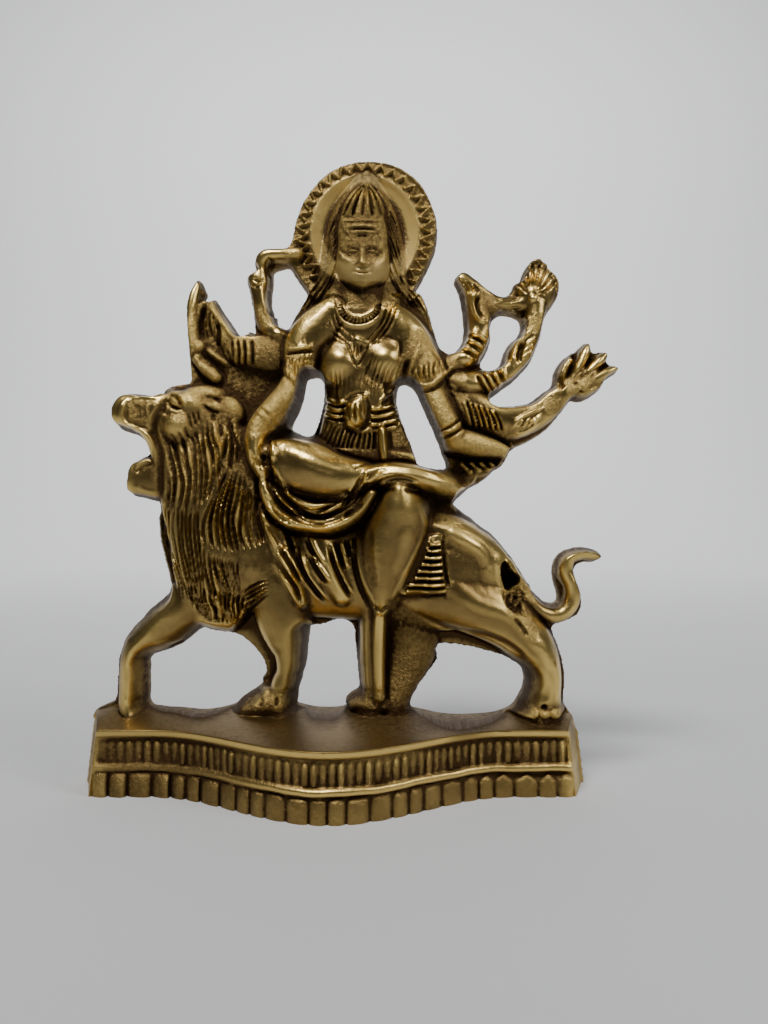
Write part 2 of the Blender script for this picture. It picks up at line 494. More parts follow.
def left_arms(r):
    """The raised hand at the far left, and the forearm joined to the halo."""
    r.plate([[-34.8, 84.5], [-34, 97.5], [-31.5, 99.9], [-28.6, 99.5], [-24, 91.6], [-11, 89.7],
             [-6, 83.5], [-8, 72.5], [-19, 66.5], [-27, 70.5], [-33.8, 77.5]], 4.6, grain=0.9)
    # The raised hand, with its long blade-like finger
    r.limb([[-29.3, 98.4, 1.2, 5.2], [-27.6, 94.7, 2.2, 6.2], [-25.2, 91.4, 3.2, 6.8],
            [-22.5, 89.2, 3.6, 7]], foot=4)
    r.limb([[-32.8, 86.4, 2.2, 6.3], [-34, 91.3, 1.9, 6.2], [-34.4, 96.3, 1.7, 6],
            [-34, 101, 1.5, 5.4], [-32.8, 105, 0.6, 3.8]], foot=3)
    r.limb([[-9, 86.6, 4.6, 7.8], [-15.5, 87.4, 4.4, 7.6], [-20.2, 88, 3.9, 7.2],
            [-23, 88.3, 3.6, 7]], foot=4.4)
    r.limb([[-32.5, 85.6, 1.3, 6.6], [-30.2, 83.3, 1.7, 7.6], [-28.3, 81.4, 1.5, 7.4]], foot=4.6,
           trench=0.5)
    for x in (-23.6, -22.2, -20.6):
        r.crease([[x - 0.4, 107], [x - 0.1, 104], [x, 100.6]], 0.75, 0.85, 4, ends=0.1)
    for x in (-24.4, -22.9, -21.4, -19.7):
        r.crease([[x - 0.3, 106.8], [x, 103.7], [x + 0.1, 100.4]], 0.5, -0.7, 4, ends=0.1)
    hair_lines(r, [[[-31.6, 113.5], [-31.8, 110], [-31.5, 106.8]],
                   [[-30.9, 113.6], [-31, 110.2], [-30.5, 107]],
                   [[-30, 113.8], [-30, 110.5], [-29.4, 107.5]],
                   [[-29.2, 113.2], [-29, 110.4], [-28.6, 107.6]]], 4, 0.45, 0.6, 0.25, 0.5)
    r.creases([[[-31.2, 115.5], [-32.2, 111], [-31.9, 107]],
               [[-28.4, 111.5], [-28, 108.5], [-27.8, 105]]], 0.8, -1.5, 4)
    r.crease([[-29.8, 114.6], [-27, 111], [-24.6, 108], [-23.4, 106.8]], 0.8, 0.6, 4)
    r.crease([[-31, 104.8], [-28, 102.5], [-25, 100.5]], 0.9, 0.9, 4)
    r.crease([[-33, 102.8], [-31, 101.4], [-29, 100]], 0.7, -0.9, 4)
    r.crease([[-26, 104.6], [-25.2, 102.5], [-25, 100.8]], 0.6, -0.7, 4)
    r.dome([-33.2, 105.6], [1.6, 1.6], 6.8, 4, 5)
    r.rough([[-20, 106.5], [-11, 106.6], [-10, 100.5], [-13, 96], [-28, 95], [-27, 99.4],
             [-20, 100.5]], 0.9, 4, 5)
    # Forearm that rises to the staff joined to the halo
    r.limb([[-11.8, 90.2, 2.6, 7.2], [-14.6, 92.6, 2.9, 7], [-16.7, 96.5, 2.6, 6.6],
            [-17.6, 101.5, 2.6, 6.2], [-18.4, 105.4, 2.6, 6]], foot=3)
    r.dome([-13.6, 108.2], [2.3, 1.8], 7.4, 4, 5)
    r.limb([[-17.4, 104.2, 1.7, 5.6], [-17.9, 108.4, 1.7, 5.6], [-16.8, 110.7, 1.8, 6],
            [-13.5, 111.2, 1.7, 5.8], [-9, 111.5, 1.7, 5.4]], foot=3)
    r.crease([[-17.7, 121.8], [-17.5, 117], [-15.6, 111.5]], 0.7, 0.55, 4)
    r.creases([[[-19.6, 121.6], [-18.4, 121], [-17, 121.4]],
               [[-20.2, 120.3], [-18.8, 119.8], [-17.4, 120.2]],
               [[-15.2, 123.3], [-15.1, 125.2], [-16, 126.8]]], 0.5, -0.6, 4)
    r.rough([[-19.5, 114.5], [-16.5, 114.5], [-15, 110.5], [-17.5, 109]], 0.8, 4, 5.5)


def right_arms(r):
    """The three arms spread behind the figure on the right."""
    r.plate([[14.4, 78.4], [20, 92], [25.6, 87.4], [30, 84.5], [31, 79.5], [33, 70.4], [42.5, 66.2],
             [42, 62], [36, 58.5], [26, 56.4], [22, 61]], 4.6, grain=0.7)
    # The nearest to the halo, with a curled hand
    r.limb([[22.5, 80.5, 3.4, 7.5], [27.5, 83.6, 3.2, 8], [31, 86.3, 3.3, 8],
            [33.9, 89.8, 3.4, 7.4], [34.8, 94, 3.2, 6.8], [34.2, 98, 3, 6.2], [32.6, 101.6, 3, 6],
            [31, 105, 2.3, 5.2]], foot=3.2)
    r.limb([[30.6, 104.8, 2.4, 5.4], [33.6, 102.2, 3.2, 5.6], [36.8, 99.6, 3.2, 5.4],
            [39.6, 99.2, 2.4, 5.2], [44, 99.4, 2, 5], [47.5, 100.2, 2.2, 5.2]], foot=3)
    r.dome([31.5, 102.6], [2.4, 2], 8.6, 4, 6)
    for x, z in ((32.6, 104.4), (33.8, 106), (34.6, 107.8)):
        r.crease([[x - 2.2, z + 1], [x, z + 0.2], [x + 2.2, z - 1.4]], 0.6, 0.75, 4, ends=0.12)
        r.crease([[x - 2.6, z + 0.1], [x - 0.4, z - 0.7], [x + 1.8, z - 2.3]], 0.5, -0.7, 4,
                 ends=0.12)
    r.crease([[34, 118.8], [33.1, 116.8], [33.4, 114.2], [34.6, 112], [36.6, 110.8]], 0.7, 0.8, 4)
    r.crease([[35, 117.6], [34.3, 115.8], [34.8, 113.4], [36, 111.8]], 0.7, -0.9, 4)
    r.creases([[[30.2, 121.6], [31.6, 119.8], [32.4, 118]],
               [[31.6, 121.4], [32.8, 119.8], [33.4, 118.4]],
               [[33.2, 120.4], [34.2, 119.2], [34.8, 118]]], 0.45, -0.6, 4)
    r.rough([[35, 118], [38.6, 116.4], [38.8, 112.6], [36.4, 111.6], [34.8, 114]], 0.9, 4, 5)
    r.rough([[29, 118], [31.5, 118.5], [33, 112.5], [31.5, 108]], 0.5, 4, 5.5)
    r.creases([[[38.6, 115], [41.6, 114.6], [45.6, 114.8]],
               [[39.6, 116.4], [42.6, 116.4], [45, 117]]], 0.5, -0.5, 4)
    # The second, which holds an open lotus
    r.limb([[23, 79.8, 3.4, 7.6], [28, 80.5, 3.1, 8.6], [33, 80.4, 3.2, 8.6],
            [37.4, 80.6, 3.2, 7.8], [41.4, 82.8, 3.2, 7.2], [44.6, 87, 3.4, 6.8],
            [46.6, 91.6, 3.1, 6.6], [48.2, 96, 2.7, 6.4], [48.6, 99, 2.6, 6]], foot=3.2)
    r.dome([31, 96.8], [5.5, 2.4], 9.2, 4, 6.5, turn=-0.2)
    for x, z in ((36.4, 96), (37.8, 96.6), (39.2, 97.4), (40.8, 98.6)):
        r.crease([[x + 1.1, z - 3], [x, z], [x - 1.7, z + 2.6]], 0.6, 0.75, 4, ends=0.12)
        r.crease([[x + 0.4, z - 3.2], [x - 0.7, z - 0.3], [x - 2.3, z + 2.4]], 0.45, -0.7, 4,
                 ends=0.12)
    r.crease([[43.2, 100.2], [43, 103], [44.2, 106.4], [46.4, 108.4], [48.2, 110.4]], 0.7, 0.6, 4)
    r.crease([[44.4, 101.2], [44.6, 104], [45.8, 106.4]], 0.8, -0.9, 4)
    r.creases([[[44.6, 102], [47.6, 104.2]], [[44.8, 103.4], [48, 105.8]],
               [[45.4, 104.9], [48.4, 107.4]]], 0.5, 0.5, 4)
    r.rough([[46.8, 112.6], [49.4, 112.4], [48.6, 108.8], [46.6, 109]], 0.8, 4, 6)
    r.dome([49, 119.6], [4.6, 5.6], 5.8, 4, 3.4, turn=-0.15)
    for k in range(8):
        a = 0.35 + k * 0.33
        c, s = np.cos(a), np.sin(a)
        r.crease([[47.6 + 1.4 * c, 117.2 + 1.6 * s], [48 + 3.8 * c, 117.8 + 4.4 * s],
                  [48.4 + 5.2 * c, 118.6 + 7.2 * s]], 0.5, -0.75, 4)
    r.dome([48, 117], [1.3, 1.2], 6.4, 4, 5)
    r.dome([48, 117], [0.6, 0.6], 5.0, 4, 5)
    # The third, which ends in an open hand
    r.limb([[20, 76.5, 6.2, 8.5], [26, 75.6, 6.2, 8.8], [31, 74.4, 5.8, 8.6], [36, 72.4, 5, 8.4],
            [41, 71.2, 4.8, 8], [45.6, 71.8, 4, 7.6], [49.6, 73.8, 3.5, 7], [53, 76.6, 3, 6.4],
            [56, 78.8, 3, 6.2]], foot=3.6, power=0.42)
    r.limb([[56, 78.6, 2.6, 6.2], [59.4, 79.6, 3.8, 6.6], [62, 80.6, 3, 6]], foot=3)
    for points in ([[55.2, 78.4, 1.7, 5.6], [54.3, 81, 2, 5.8], [55, 83.6, 1.7, 5.6],
                    [56.4, 85.6, 1.4, 5]],
                   [[57.4, 80.6, 1.8, 6.2], [58.9, 84.4, 1.6, 5.9], [60.4, 88, 1.3, 5.2],
                    [60.8, 89.6, 0.8, 4.4]],
                   [[59.6, 80.6, 1.9, 6.4], [62, 83.8, 1.6, 6], [64, 86, 1.3, 5.4],
                    [65.2, 87.2, 0.8, 4.4]],
                   [[60.6, 79.8, 1.9, 6.3], [64, 82, 1.6, 6], [66.6, 83.4, 1.2, 5.4],
                    [68.2, 84.2, 0.7, 4.4]],
                   [[60, 78.6, 1.9, 6.2], [63, 78.6, 1.4, 5.8], [65.4, 80, 1.1, 5.2],
                    [66.8, 81.4, 0.7, 4.2]]):
        r.limb(points, foot=3, trench=0.5, blend=0.5)
    r.dome([54.6, 97.2], [1, 1.6], 4.4, 4, 3.6)
    r.crease([[54.4, 98.8], [54.4, 96.6], [55.2, 95]], 0.8, -1.2, 4)
    r.rough([[57, 98.5], [61, 98.8], [63.6, 96], [60, 93.4], [56, 94]], 0.7, 4, 6)
    for k in range(6):
        x = 32.6 + 1.35 * k
        r.crease([[x - 1.6, 92.4 - 0.5 * k], [x - 0.4, 88.5 - 0.2 * k], [x + 0.3, 85.4 - 0.1 * k]],
                 0.6, 0.75, 4, ends=0.12)
        r.crease([[x - 0.9, 92.2 - 0.5 * k], [x + 0.3, 88.4 - 0.2 * k], [x + 1, 85.3 - 0.1 * k]],
                 0.45, -0.8, 4, ends=0.12)
    r.crease([[43, 85.2], [44, 87.4], [47, 89.2], [50.4, 90.6]], 0.6, 0.6, 4)
    r.crease([[43.6, 84], [46, 84.6], [49.4, 87]], 0.6, 0.5, 4)
    r.creases([[[43.8, 85.6], [45.4, 87.6]], [[45, 85.4], [47, 88]], [[46.4, 85.8], [48.6, 88.4]],
               [[47.8, 86.6], [49.8, 89]]], 0.5, 0.6, 4)
    r.rough([[39, 84.8], [43.4, 85], [43.2, 82], [39.4, 81.6]], 0.9, 4, 8)
    r.rough([[51, 92.6], [54.4, 93.2], [54.4, 90], [51.4, 89]], 0.8, 4, 6.4)
    # Fringe of the sleeve at the shoulder
    for k in range(6):
        a = -0.5 - k * 0.27
        c, s = np.cos(a), np.sin(a)
        r.crease([[25 + 1.2 * c, 97 + 1.2 * s], [25 + 5.4 * c, 97.4 + 5.4 * s]], 0.6, 0.5, 4)


def lion(r):
    """The lion's legs, trunk and tail, with the cloth on it, and then its mane and head."""
    # Legs on the far side
    r.limb([[16, 30, 7.5, 8.8], [17.4, 25, 7, 8.4], [18.4, 18.4, 6.6, 8], [16.4, 10.5, 5.2, 7.8],
            [14.4, 5, 4.4, 8], [13.8, -3, 5, 8]], foot=3)
    r.rough([[13, 45.5], [18, 43], [24, 38], [25.5, 31], [20, 23.5], [18.8, 17.5], [12.6, 17.5],
             [13.6, 26], [12.8, 36]], 1.0, 9, 6.5, 1.2)
    r.limb([[8.4, 30, 3.4, 10], [8.9, 24, 3, 9.5], [9, 16, 2.9, 9], [8.8, 9, 3.2, 9],
            [8, -3, 3.8, 9.4]], foot=4.5, trench=0.5)
    r.limb([[4.6, 3.4, 1.8, 7.4], [8, 4, 2.6, 9.4], [12, 3.6, 2.4, 8.4]], foot=4)
    r.rough([[2.5, 22.6], [12.5, 23.4], [13, 17.6], [2.6, 18.6]], 0.9, 9, 8)
    r.limb([[-30, 30.5, 7.6, 9.6], [-34.5, 27.4, 6.6, 9.2], [-39, 24.2, 6, 9],
            [-43.4, 20.6, 5, 8.8], [-46.4, 16.2, 4.6, 8.8], [-47.4, 11, 4.4, 8.6],
            [-47.5, 5, 4.4, 8.6], [-47.5, -3, 4.8, 9]], foot=3, blend=1.2)
    r.shade([[-30, 44], [-40, 38], [-50.5, 32], [-52, 24], [-49, 21], [-49.6, 27], [-47, 33],
             [-38, 35], [-32, 38]], 0.75, 9, 7, 2)
    r.shade([[-44.6, 32], [-43, 20], [-45, 20], [-45.6, 30]], 0.4, 9, 7, 1)
    r.crease([[-44.4, 33.2], [-40, 34.6], [-36, 35.6], [-33, 37.6], [-31, 39.6]], 0.7, 0.5, 9)
    r.dome([-47, 21], [2.6, 1.6], 9.4, 9, 7)
    # Trunk and rump
    r.limb([[-14.5, 37.5, 13, 12], [0, 37, 13, 11.5], [15, 36, 13.5, 12], [26.6, 34.6, 13.6, 13],
            [33.6, 33, 10.6, 11.6], [39, 29.4, 7, 9.6], [43, 25.5, 4.6, 8.6]], foot=4.2, power=0.42,
           blend=1.2)
    r.limb([[20, 45.4, 5, 11.4], [27, 44.4, 4.6, 12.8], [32.4, 41.6, 4.4, 12.4],
            [36.4, 38, 4, 10.6]], foot=6, power=0.6, blend=2)
    # Near hind leg
    r.limb([[17, 29.4, 5, 10.6], [24, 29.8, 6.6, 12.6], [31, 28.6, 7.6, 13.2], [38, 25.4, 7, 12.8],
            [43.4, 21.4, 6, 12], [47.6, 16.6, 5.3, 11.4], [49.7, 11, 4.4, 10.8],
            [49.9, 5, 4.2, 10.4], [49.4, 0, 5, 10.8], [49.4, -4, 5.6, 11]], foot=5, blend=1.0)
    r.crease([[19, 41.6], [27, 38.2], [36, 36.4], [42, 33.6], [45.2, 30.4], [46, 27]], 1.0, -0.7, 7)
    r.crease([[22, 46.2], [28.6, 47.2], [34, 43.2], [42, 40.8], [47, 35.4], [51, 31], [53, 27],
              [52.4, 22]], 2.2, 0.55, 7)
    r.crease([[27, 60.8], [31, 58.4], [35, 55.6], [36.4, 51], [37.4, 46.4]], 1.8, 0.5, 7)
    r.crease([[52.4, 30], [53.2, 26], [52.8, 20.6]], 0.7, 0.5, 7)
    r.crease([[46.8, 30], [48.4, 26], [49.6, 20.4]], 2.4, -0.5, 7)
    for x in (47.4, 50.2, 52.6):
        r.dome([x, 17.2], [1.5, 1.2], 11.8, 7, 10)
    r.dome([50.2, 18.8], [0.9, 1.1], 9.6, 7, 9)
    r.crease([[49.9, 19.8], [50.2, 18]], 0.8, -1.4, 7, ends=0.3)
    r.rough([[45, 19], [54, 19.2], [54.6, 15.6], [45, 15.8]], 0.9, 7, 10)
    # The tail, and the pitted hollow beside its root
    r.limb([[42.6, 30.6, 2.4, 8.6], [45.6, 29, 2.4, 8], [48.6, 26.2, 2.3, 7.2],
            [52, 24.7, 2.2, 6.8], [55, 25.4, 2.2, 6.6], [57, 28.2, 2.2, 6.4],
            [56.9, 31.8, 2.1, 6.4], [55.4, 35.4, 2.1, 6.4], [56.2, 38.6, 2.1, 6.4],
            [59.2, 39.8, 2, 6.2], [61.8, 39.4, 1.7, 5.6], [64, 38.5, 0.8, 4]], foot=3)
    r.limb([[39.6, 39.6, 1.3, 5.4], [43.4, 35.2, 1.3, 5.6], [46.4, 31, 1.6, 6.6]], foot=3,
           power=0.6)
    cut = r.window(carried([[42.6, 47.4]], 7, 6), 9)
    spot = carried([[43.4, 46.6]], 7, 6)[0]
    pit = np.hypot((r.x[cut] - spot[0]) / 3.2, (r.z[cut] - spot[1]) / 3.9)
    floor = 7.4 + 1.8 * np.clip(pit, 0, 2) ** 2 + 0.5 * waves(r.x[cut], r.z[cut], 1.6, 17)
    r.out[cut] = np.where(pit < 1.25, smooth_min(r.out[cut], floor, 0.6), r.out[cut])
    r.rough([[39.6, 51], [42.6, 51], [47.4, 45], [46.4, 41.2], [41.4, 42.4]], 1.0, 7, 8)
    r.shade([[40.6, 50], [43, 49], [46, 45.4], [45.2, 42.8], [42.4, 43.8]], 0.4, 7, 8)
    mouth = [[39.8, 53.6], [40.6, 52.3], [42, 51], [43.2, 50], [43.1, 49], [42, 48.2], [41, 47.4],
             [40.3, 47.7], [39.6, 49.5], [39.2, 51.5], [39.3, 53]]
    line = smooth_line(carried(mouth, 7, 4), 0.5, closed=True)
    cut = r.window(line, 1)
    inside = signed(line, r.x[cut], r.z[cut])
    r.out[cut] = smooth_min(r.out[cut], 1.7 + 12 * np.maximum(0.1 - inside, 0), 0.4)
    r.shade(mouth, 1.0, 7, 4, 0.6)
    r.crease([[42.6, 40.4], [44.4, 38.4], [46, 35.8]], 0.6, -0.8, 7)
    r.rough([[41, 42.6], [45, 41], [48.6, 35.4], [46.6, 34], [42, 39]], 0.5, 7, 12)
    r.shade([[20, 58], [36, 52], [44, 40], [48, 32], [40, 34], [22, 42]], 0.55, 7, 12, 3)
    r.shade([[43, 33], [46, 28], [45.4, 19], [49, 19], [49.4, 27], [48, 34]], 0.5, 7, 10, 1.5)
    r.rough([[25.6, 62.4], [30, 60.4], [34.6, 54.4], [30, 54], [26.6, 57]], 0.15, 7, 12)
    r.rough([[24.4, 68.6], [29, 66.4], [30, 62.6], [25.6, 62.4], [22, 66]], 0.9, 7, 8)
    saddle(r)
    belly(r)
    # Near foreleg
    r.limb([[-12.6, 37, 7.2, 12.8], [-12.6, 30, 7.2, 13], [-12, 24.5, 6.6, 12.6],
            [-10.8, 20.4, 5.8, 12], [-9.8, 17, 4.8, 11.4], [-9.8, 11.5, 4, 10.8],
            [-10.8, 7.4, 4.4, 10.6], [-11.6, 2, 4.8, 10.4], [-12, -4, 5, 10.2]], foot=4.6,
           blend=1.6)
    r.limb([[-10.4, 5, 3.6, 10.4], [-14, 4.4, 3.8, 10], [-18, 3, 3.6, 9.2], [-21.4, 1.2, 3, 8]],
           foot=5, blend=1.6)
    r.shade([[-18.6, 46], [-6, 44], [-6.4, 31], [-8, 22], [-13, 22], [-13, 30], [-16, 38]], 0.9, 9,
            10, 2.5)
    r.rough([[-24, 21], [-17, 23], [-9, 23.6], [-8, 19], [-24, 19]], 0.9, 9, 9)
    r.creases([[[-19.6, 21.6], [-20.6, 19.6]], [[-16.6, 22], [-17.2, 19.6]],
               [[-13.2, 22], [-13.4, 19.6]]], 0.6, -0.7, 9)
    mane(r)
    lion_head(r)


def saddle(r):
    """The ribbed flap of the saddle cloth, behind the rider's hanging leg."""
    r.plate(carried([[22.6, 59.4], [25.6, 59.6], [26.4, 54], [27.4, 48], [27.2, 46.8], [21, 45.8],
                     [15.6, 46.4], [17, 49.6], [19.6, 54]], 7, 13) - [0, FOOTING], 13.4)
    rows = [(57.7, 22.6, 25.4), (56.2, 21.8, 25.6), (54.5, 21.2, 25.7), (52.9, 20.4, 25.9),
            (51.3, 19.5, 26.1), (49.7, 18.8, 26.3), (48.1, 17.4, 26.6), (46.6, 16.8, 26.8)]
    for z, left, right in rows:
        r.crease([[left, z], [(left + 23) / 2, z + 0.15], [22.8, z - 0.1], [right, z + 0.1]], 0.62,
                 1.0, 7, ends=0.06)
        r.crease([[left, z - 0.8], [22.8, z - 0.9], [right, z - 0.7]], 0.45, -0.5, 7, ends=0.06)
    r.crease([[26.4, 60.4], [26.6, 56], [27, 51.6], [27.9, 47.6]], 0.5, 0.5, 7, ends=0.1)
    r.crease([[25.9, 59.8], [26.2, 55], [26.6, 51], [27.3, 47.4]], 0.5, -0.9, 7, ends=0.1)
    r.crease([[22.8, 57.4], [22.9, 52], [22.7, 47.2]], 0.5, -0.35, 7, ends=0.1)


def belly(r):
    """Long folds of cloth on the lion's belly, fanned down from the rider's lap."""
    r.limb([[-15.4, 48.5, 2, 12.6], [-12.6, 42, 3.4, 13.2], [-9.6, 34, 3.6, 13.2],
            [-7.4, 28.4, 2, 12.2]], foot=8, power=0.6)
    r.limb([[-4, 44, 4.6, 12.8], [-1, 36.4, 4.6, 13], [2.2, 30, 3, 12]], foot=8, power=0.6)
    folds = [[[-16, 66], [-12.6, 60], [-11, 56.6]], [[-15.5, 63], [-13, 58.6], [-12.2, 57]],
             [[-14, 55.6], [-11.4, 51.4], [-9, 48], [-7.6, 44]],
             [[-13.6, 51.6], [-11.4, 47.4], [-9, 43.2]], [[-13, 57.4], [-10, 53], [-7.6, 48.4]],
             [[-8.6, 58.4], [-7, 51.4], [-4.4, 47.4], [-2, 44.4]],
             [[-5.6, 55.4], [-3.6, 51.6], [-1.5, 48.6]],
             [[-1, 57.2], [0.4, 52.6], [2, 49], [4, 45.4]], [[0.6, 58.6], [1.6, 55], [2.6, 51.8]],
             [[3, 59], [3.6, 56.8], [4.1, 54.6]], [[-11, 60.6], [-9, 55.4], [-6.6, 51]],
             [[-6.4, 59.8], [-4.8, 56], [-2.6, 52.6]]]
    for points in folds:
        p = np.asarray(points, float)
        r.crease(p, 0.75, -1.0, 9)
        r.crease(p + [0.95, 0.25], 0.8, 0.65, 9)
        r.crease(p + [-0.95, -0.25], 0.7, 0.35, 9)
    r.crease([[5, 60], [5.1, 53], [6.8, 47], [10.3, 41]], 0.8, -1.2, 9)


def strands(r, guides, between, seen, groove=0.6, ridge=0.3, half=None, seed=1, wander=0.25,
            ends=0.12, fine=0.0):
    """Strands of hair that run along guides from top to bottom, some more between each two."""
    rng = np.random.default_rng(seed)
    guides = [np.asarray(g, float) for g in guides]
    lines = []
    for one, two in zip(guides, guides[1:]):
        for k in range(between):
            lines.append(one + (two - one) * (k / between))
    lines.append(guides[-1])
    for k, line in enumerate(lines):
        beside = lines[k + 1] if k + 1 < len(lines) else 2 * line - lines[k - 1]
        pitch = np.hypot(*(beside - line).T).mean()
        wide = half or min(0.62, 0.45 * pitch)
        shake = rng.normal(0, 1, (len(line), 2)) * wander * pitch * [1, 0.3]
        p = line + shake
        r.crease(p, wide, -groove * rng.uniform(0.75, 1.25), seen, sharp=0.8, ends=ends)
        middle = p + (beside - line) * 0.5
        r.crease(middle, wide * 0.95, ridge * rng.uniform(0.4, 1.6), seen, sharp=1.5, ends=0.3)
        if fine:
            r.crease(p + (beside - line) * 0.34, 0.3, -fine, seen, sharp=0.6, ends=0.2)
            r.crease(p + (beside - line) * 0.68, 0.3, -fine, seen, sharp=0.6, ends=0.2)


def mane(r):
    """The mane, in tiers of long strands that end in a hem."""
    r.limb([[-25.6, 71.4, 3.2, 8.6], [-27.6, 68, 6, 10.4], [-28.4, 62, 9.4, 11.2],
            [-28.2, 54, 10.6, 11.6], [-27.6, 46, 11.2, 12], [-27.2, 39, 11.2, 12],
            [-27.4, 33, 9.6, 11.4], [-27.8, 27.4, 6.6, 10.2], [-28.2, 24.4, 4, 9]], foot=6.2,
           power=0.45, blend=1.4)
    r.limb([[-32, 64, 8.6, 9.8], [-33, 56, 8.6, 9.8], [-32.2, 46, 7.6, 9.8], [-31, 37, 6.2, 9.6],
            [-30, 29, 4.6, 9]], foot=5.6, power=0.45, blend=1.6)
    r.limb([[-20.4, 66, 3.6, 9.8], [-20.6, 58, 4.6, 11.4], [-20.2, 50, 5, 12],
            [-18.6, 43, 4.6, 12.2], [-17.8, 37, 4.2, 12.2]], foot=8, blend=1.6)
    upper = [[[-41.6, 83.6], [-41.2, 79.8], [-40, 75.8], [-39.2, 71.6], [-39.6, 66.6]],
             [[-38.4, 84.2], [-37.4, 80.6], [-36.4, 76.4], [-36, 71.8], [-36.6, 66]],
             [[-34.6, 84.8], [-33.6, 81.6], [-33.1, 77.6], [-33, 72.8], [-33.6, 65.8]],
             [[-31.6, 87.4], [-31.2, 83.4], [-30.4, 78.8], [-30.2, 74.2], [-31, 67]],
             [[-29, 86.8], [-28.6, 83.6], [-27.3, 80], [-27.5, 75.8], [-28.8, 69.6]],
             [[-26.2, 90.4], [-26, 86.6], [-25.6, 82], [-26.1, 78], [-26.2, 73.4]],
             [[-23.6, 91], [-24.1, 87.4], [-23.1, 83.2], [-22.7, 80], [-22.9, 76.4]]]
    strands(r, upper, 2, 7, 0.85, 0.4, 0.62, 11, 0.16, fine=0.16)
    for points, rise in (([[-30.8, 86.4], [-30.6, 84], [-30.2, 80.6]], 0.7),
                         ([[-28.9, 86], [-28.2, 83.4], [-27.2, 80.6]], 0.6),
                         ([[-25.7, 90.4], [-25.6, 87], [-25.9, 82], [-26.2, 77.4], [-25.6, 75.6]],
                          0.8),
                         ([[-23.7, 88.6], [-23.4, 85.6], [-22.8, 82.4]], 0.9),
                         ([[-28.2, 79.6], [-28, 77], [-28.4, 74.4]], 0.6),
                         ([[-34.6, 80.6], [-34.2, 78.4], [-34, 75.6]], 0.5),
                         ([[-36.6, 82], [-35.4, 79], [-34.9, 75.6]], 0.4)):
        r.crease(points, 0.6, rise, 7, sharp=1.2, ends=0.3)
    right = [[[-25, 75.6], [-27.8, 70.4], [-29.7, 66.6], [-30.7, 62.6], [-30.4, 57.4]],
             [[-24.1, 75.4], [-26.3, 69.6], [-27.5, 65], [-27.5, 61], [-26.7, 56]],
             [[-22.8, 74.8], [-24, 69.2], [-25.1, 64], [-24.9, 60], [-23.8, 55.6]],
             [[-20.8, 73.4], [-21.5, 68.2], [-22, 63.6], [-21.8, 60], [-20.8, 56.2]],
             [[-19.3, 70.8], [-19.1, 67], [-19.6, 63.6], [-19, 60.4], [-18.2, 56.8]],
             [[-17.7, 69.6], [-17.5, 66.4], [-17.8, 63.4], [-17.2, 60.8], [-16.4, 58.2]]]
    strands(r, right, 2, 8, 0.8, 0.3, 0.55, 12, 0.12, fine=0.15)
    left = [[[-40.7, 67.6], [-40.4, 62], [-39.7, 57], [-38.4, 52], [-37.2, 46.6]],
            [[-37.6, 67.4], [-37.8, 62], [-37.2, 57], [-36, 51.5], [-34.2, 44.6]],
            [[-34.6, 67.2], [-34.8, 62], [-34.4, 57], [-33.4, 51], [-31.9, 42]],
            [[-31.7, 67.2], [-31.9, 62], [-31.6, 57], [-31, 51], [-29.8, 41.4]]]
    strands(r, left, 3, 8, 0.55, 0.2, 0.42, 13, 0.16)
    lower = [[[-30.6, 57.4], [-30.2, 54], [-29.4, 49], [-28, 44], [-27.6, 40]],
             [[-28.3, 55.6], [-28, 53], [-27, 49], [-25.8, 45], [-25.6, 39.8]],
             [[-26.5, 55], [-25.9, 52], [-24.9, 48], [-24, 44], [-23.8, 39.6]],
             [[-24.6, 54.6], [-24.2, 51.6], [-23.4, 47.6], [-22.6, 44], [-22.2, 39.4]],
             [[-22.6, 54.4], [-22.5, 51.4], [-22.1, 47.8], [-21.4, 44], [-20.6, 39.6]]]
    strands(r, lower, 2, 8.5, 0.55, 0.25, 0.45, 14, 0.16)
    for points in ([[-28.5, 52], [-27.2, 48.4], [-26, 45]],
                   [[-27.6, 54.4], [-26.6, 51.6], [-26, 49]],
                   [[-29.6, 47.4], [-27.4, 44.2], [-26, 41]]):
        r.crease(points, 0.7, 0.6, 8.5, sharp=1.2, ends=0.35)
    tufts = [[[-21, 46.6], [-18.6, 48.2], [-15.4, 49.6]], [[-21, 44.6], [-18.6, 46], [-15.2, 48]],
             [[-20.6, 41.6], [-18.4, 43.6], [-15.4, 46.4]]]
    strands(r, tufts, 2, 9, 0.55, 0.35, 0.5, 15, 0.1, ends=0.3)
    hem = [[[-34.6, 48.6], [-33.6, 45.6], [-32.4, 43.4], [-31, 41]],
           [[-30.4, 47.6], [-30, 44.6], [-29, 42], [-28.6, 39.6]],
           [[-25.4, 46.6], [-25.4, 43.6], [-25, 41], [-25, 39.2]],
           [[-21, 46], [-21.4, 43.6], [-21.6, 41.4], [-21.8, 39.6]]]
    strands(r, hem, 4, 8.5, 0.6, 0.3, 0.42, 18, 0.14, ends=0.1)
    r.shade([[-36, 50], [-18, 50], [-18.6, 39], [-32, 39]], 0.4, 8.5, 9, 2)
    r.creases([[[-20.6, 55.6], [-20.4, 53.6], [-20.6, 51.4]],
               [[-18.6, 55.4], [-18.4, 53.4], [-18.6, 51.6]],
               [[-16.9, 54.6], [-16.8, 52.8], [-17, 51]]], 0.3, -0.22, 9, sharp=0.6, ends=0.3)
    r.shade([[-41, 68], [-31.5, 68], [-30, 56], [-29, 40], [-36, 44], [-41, 56]], 0.55, 8, 9, 3)
    r.shade([[-31, 60], [-26, 57], [-15.6, 55.4], [-15.6, 49], [-19, 40], [-30, 40]], 0.45, 8, 11,
            3)
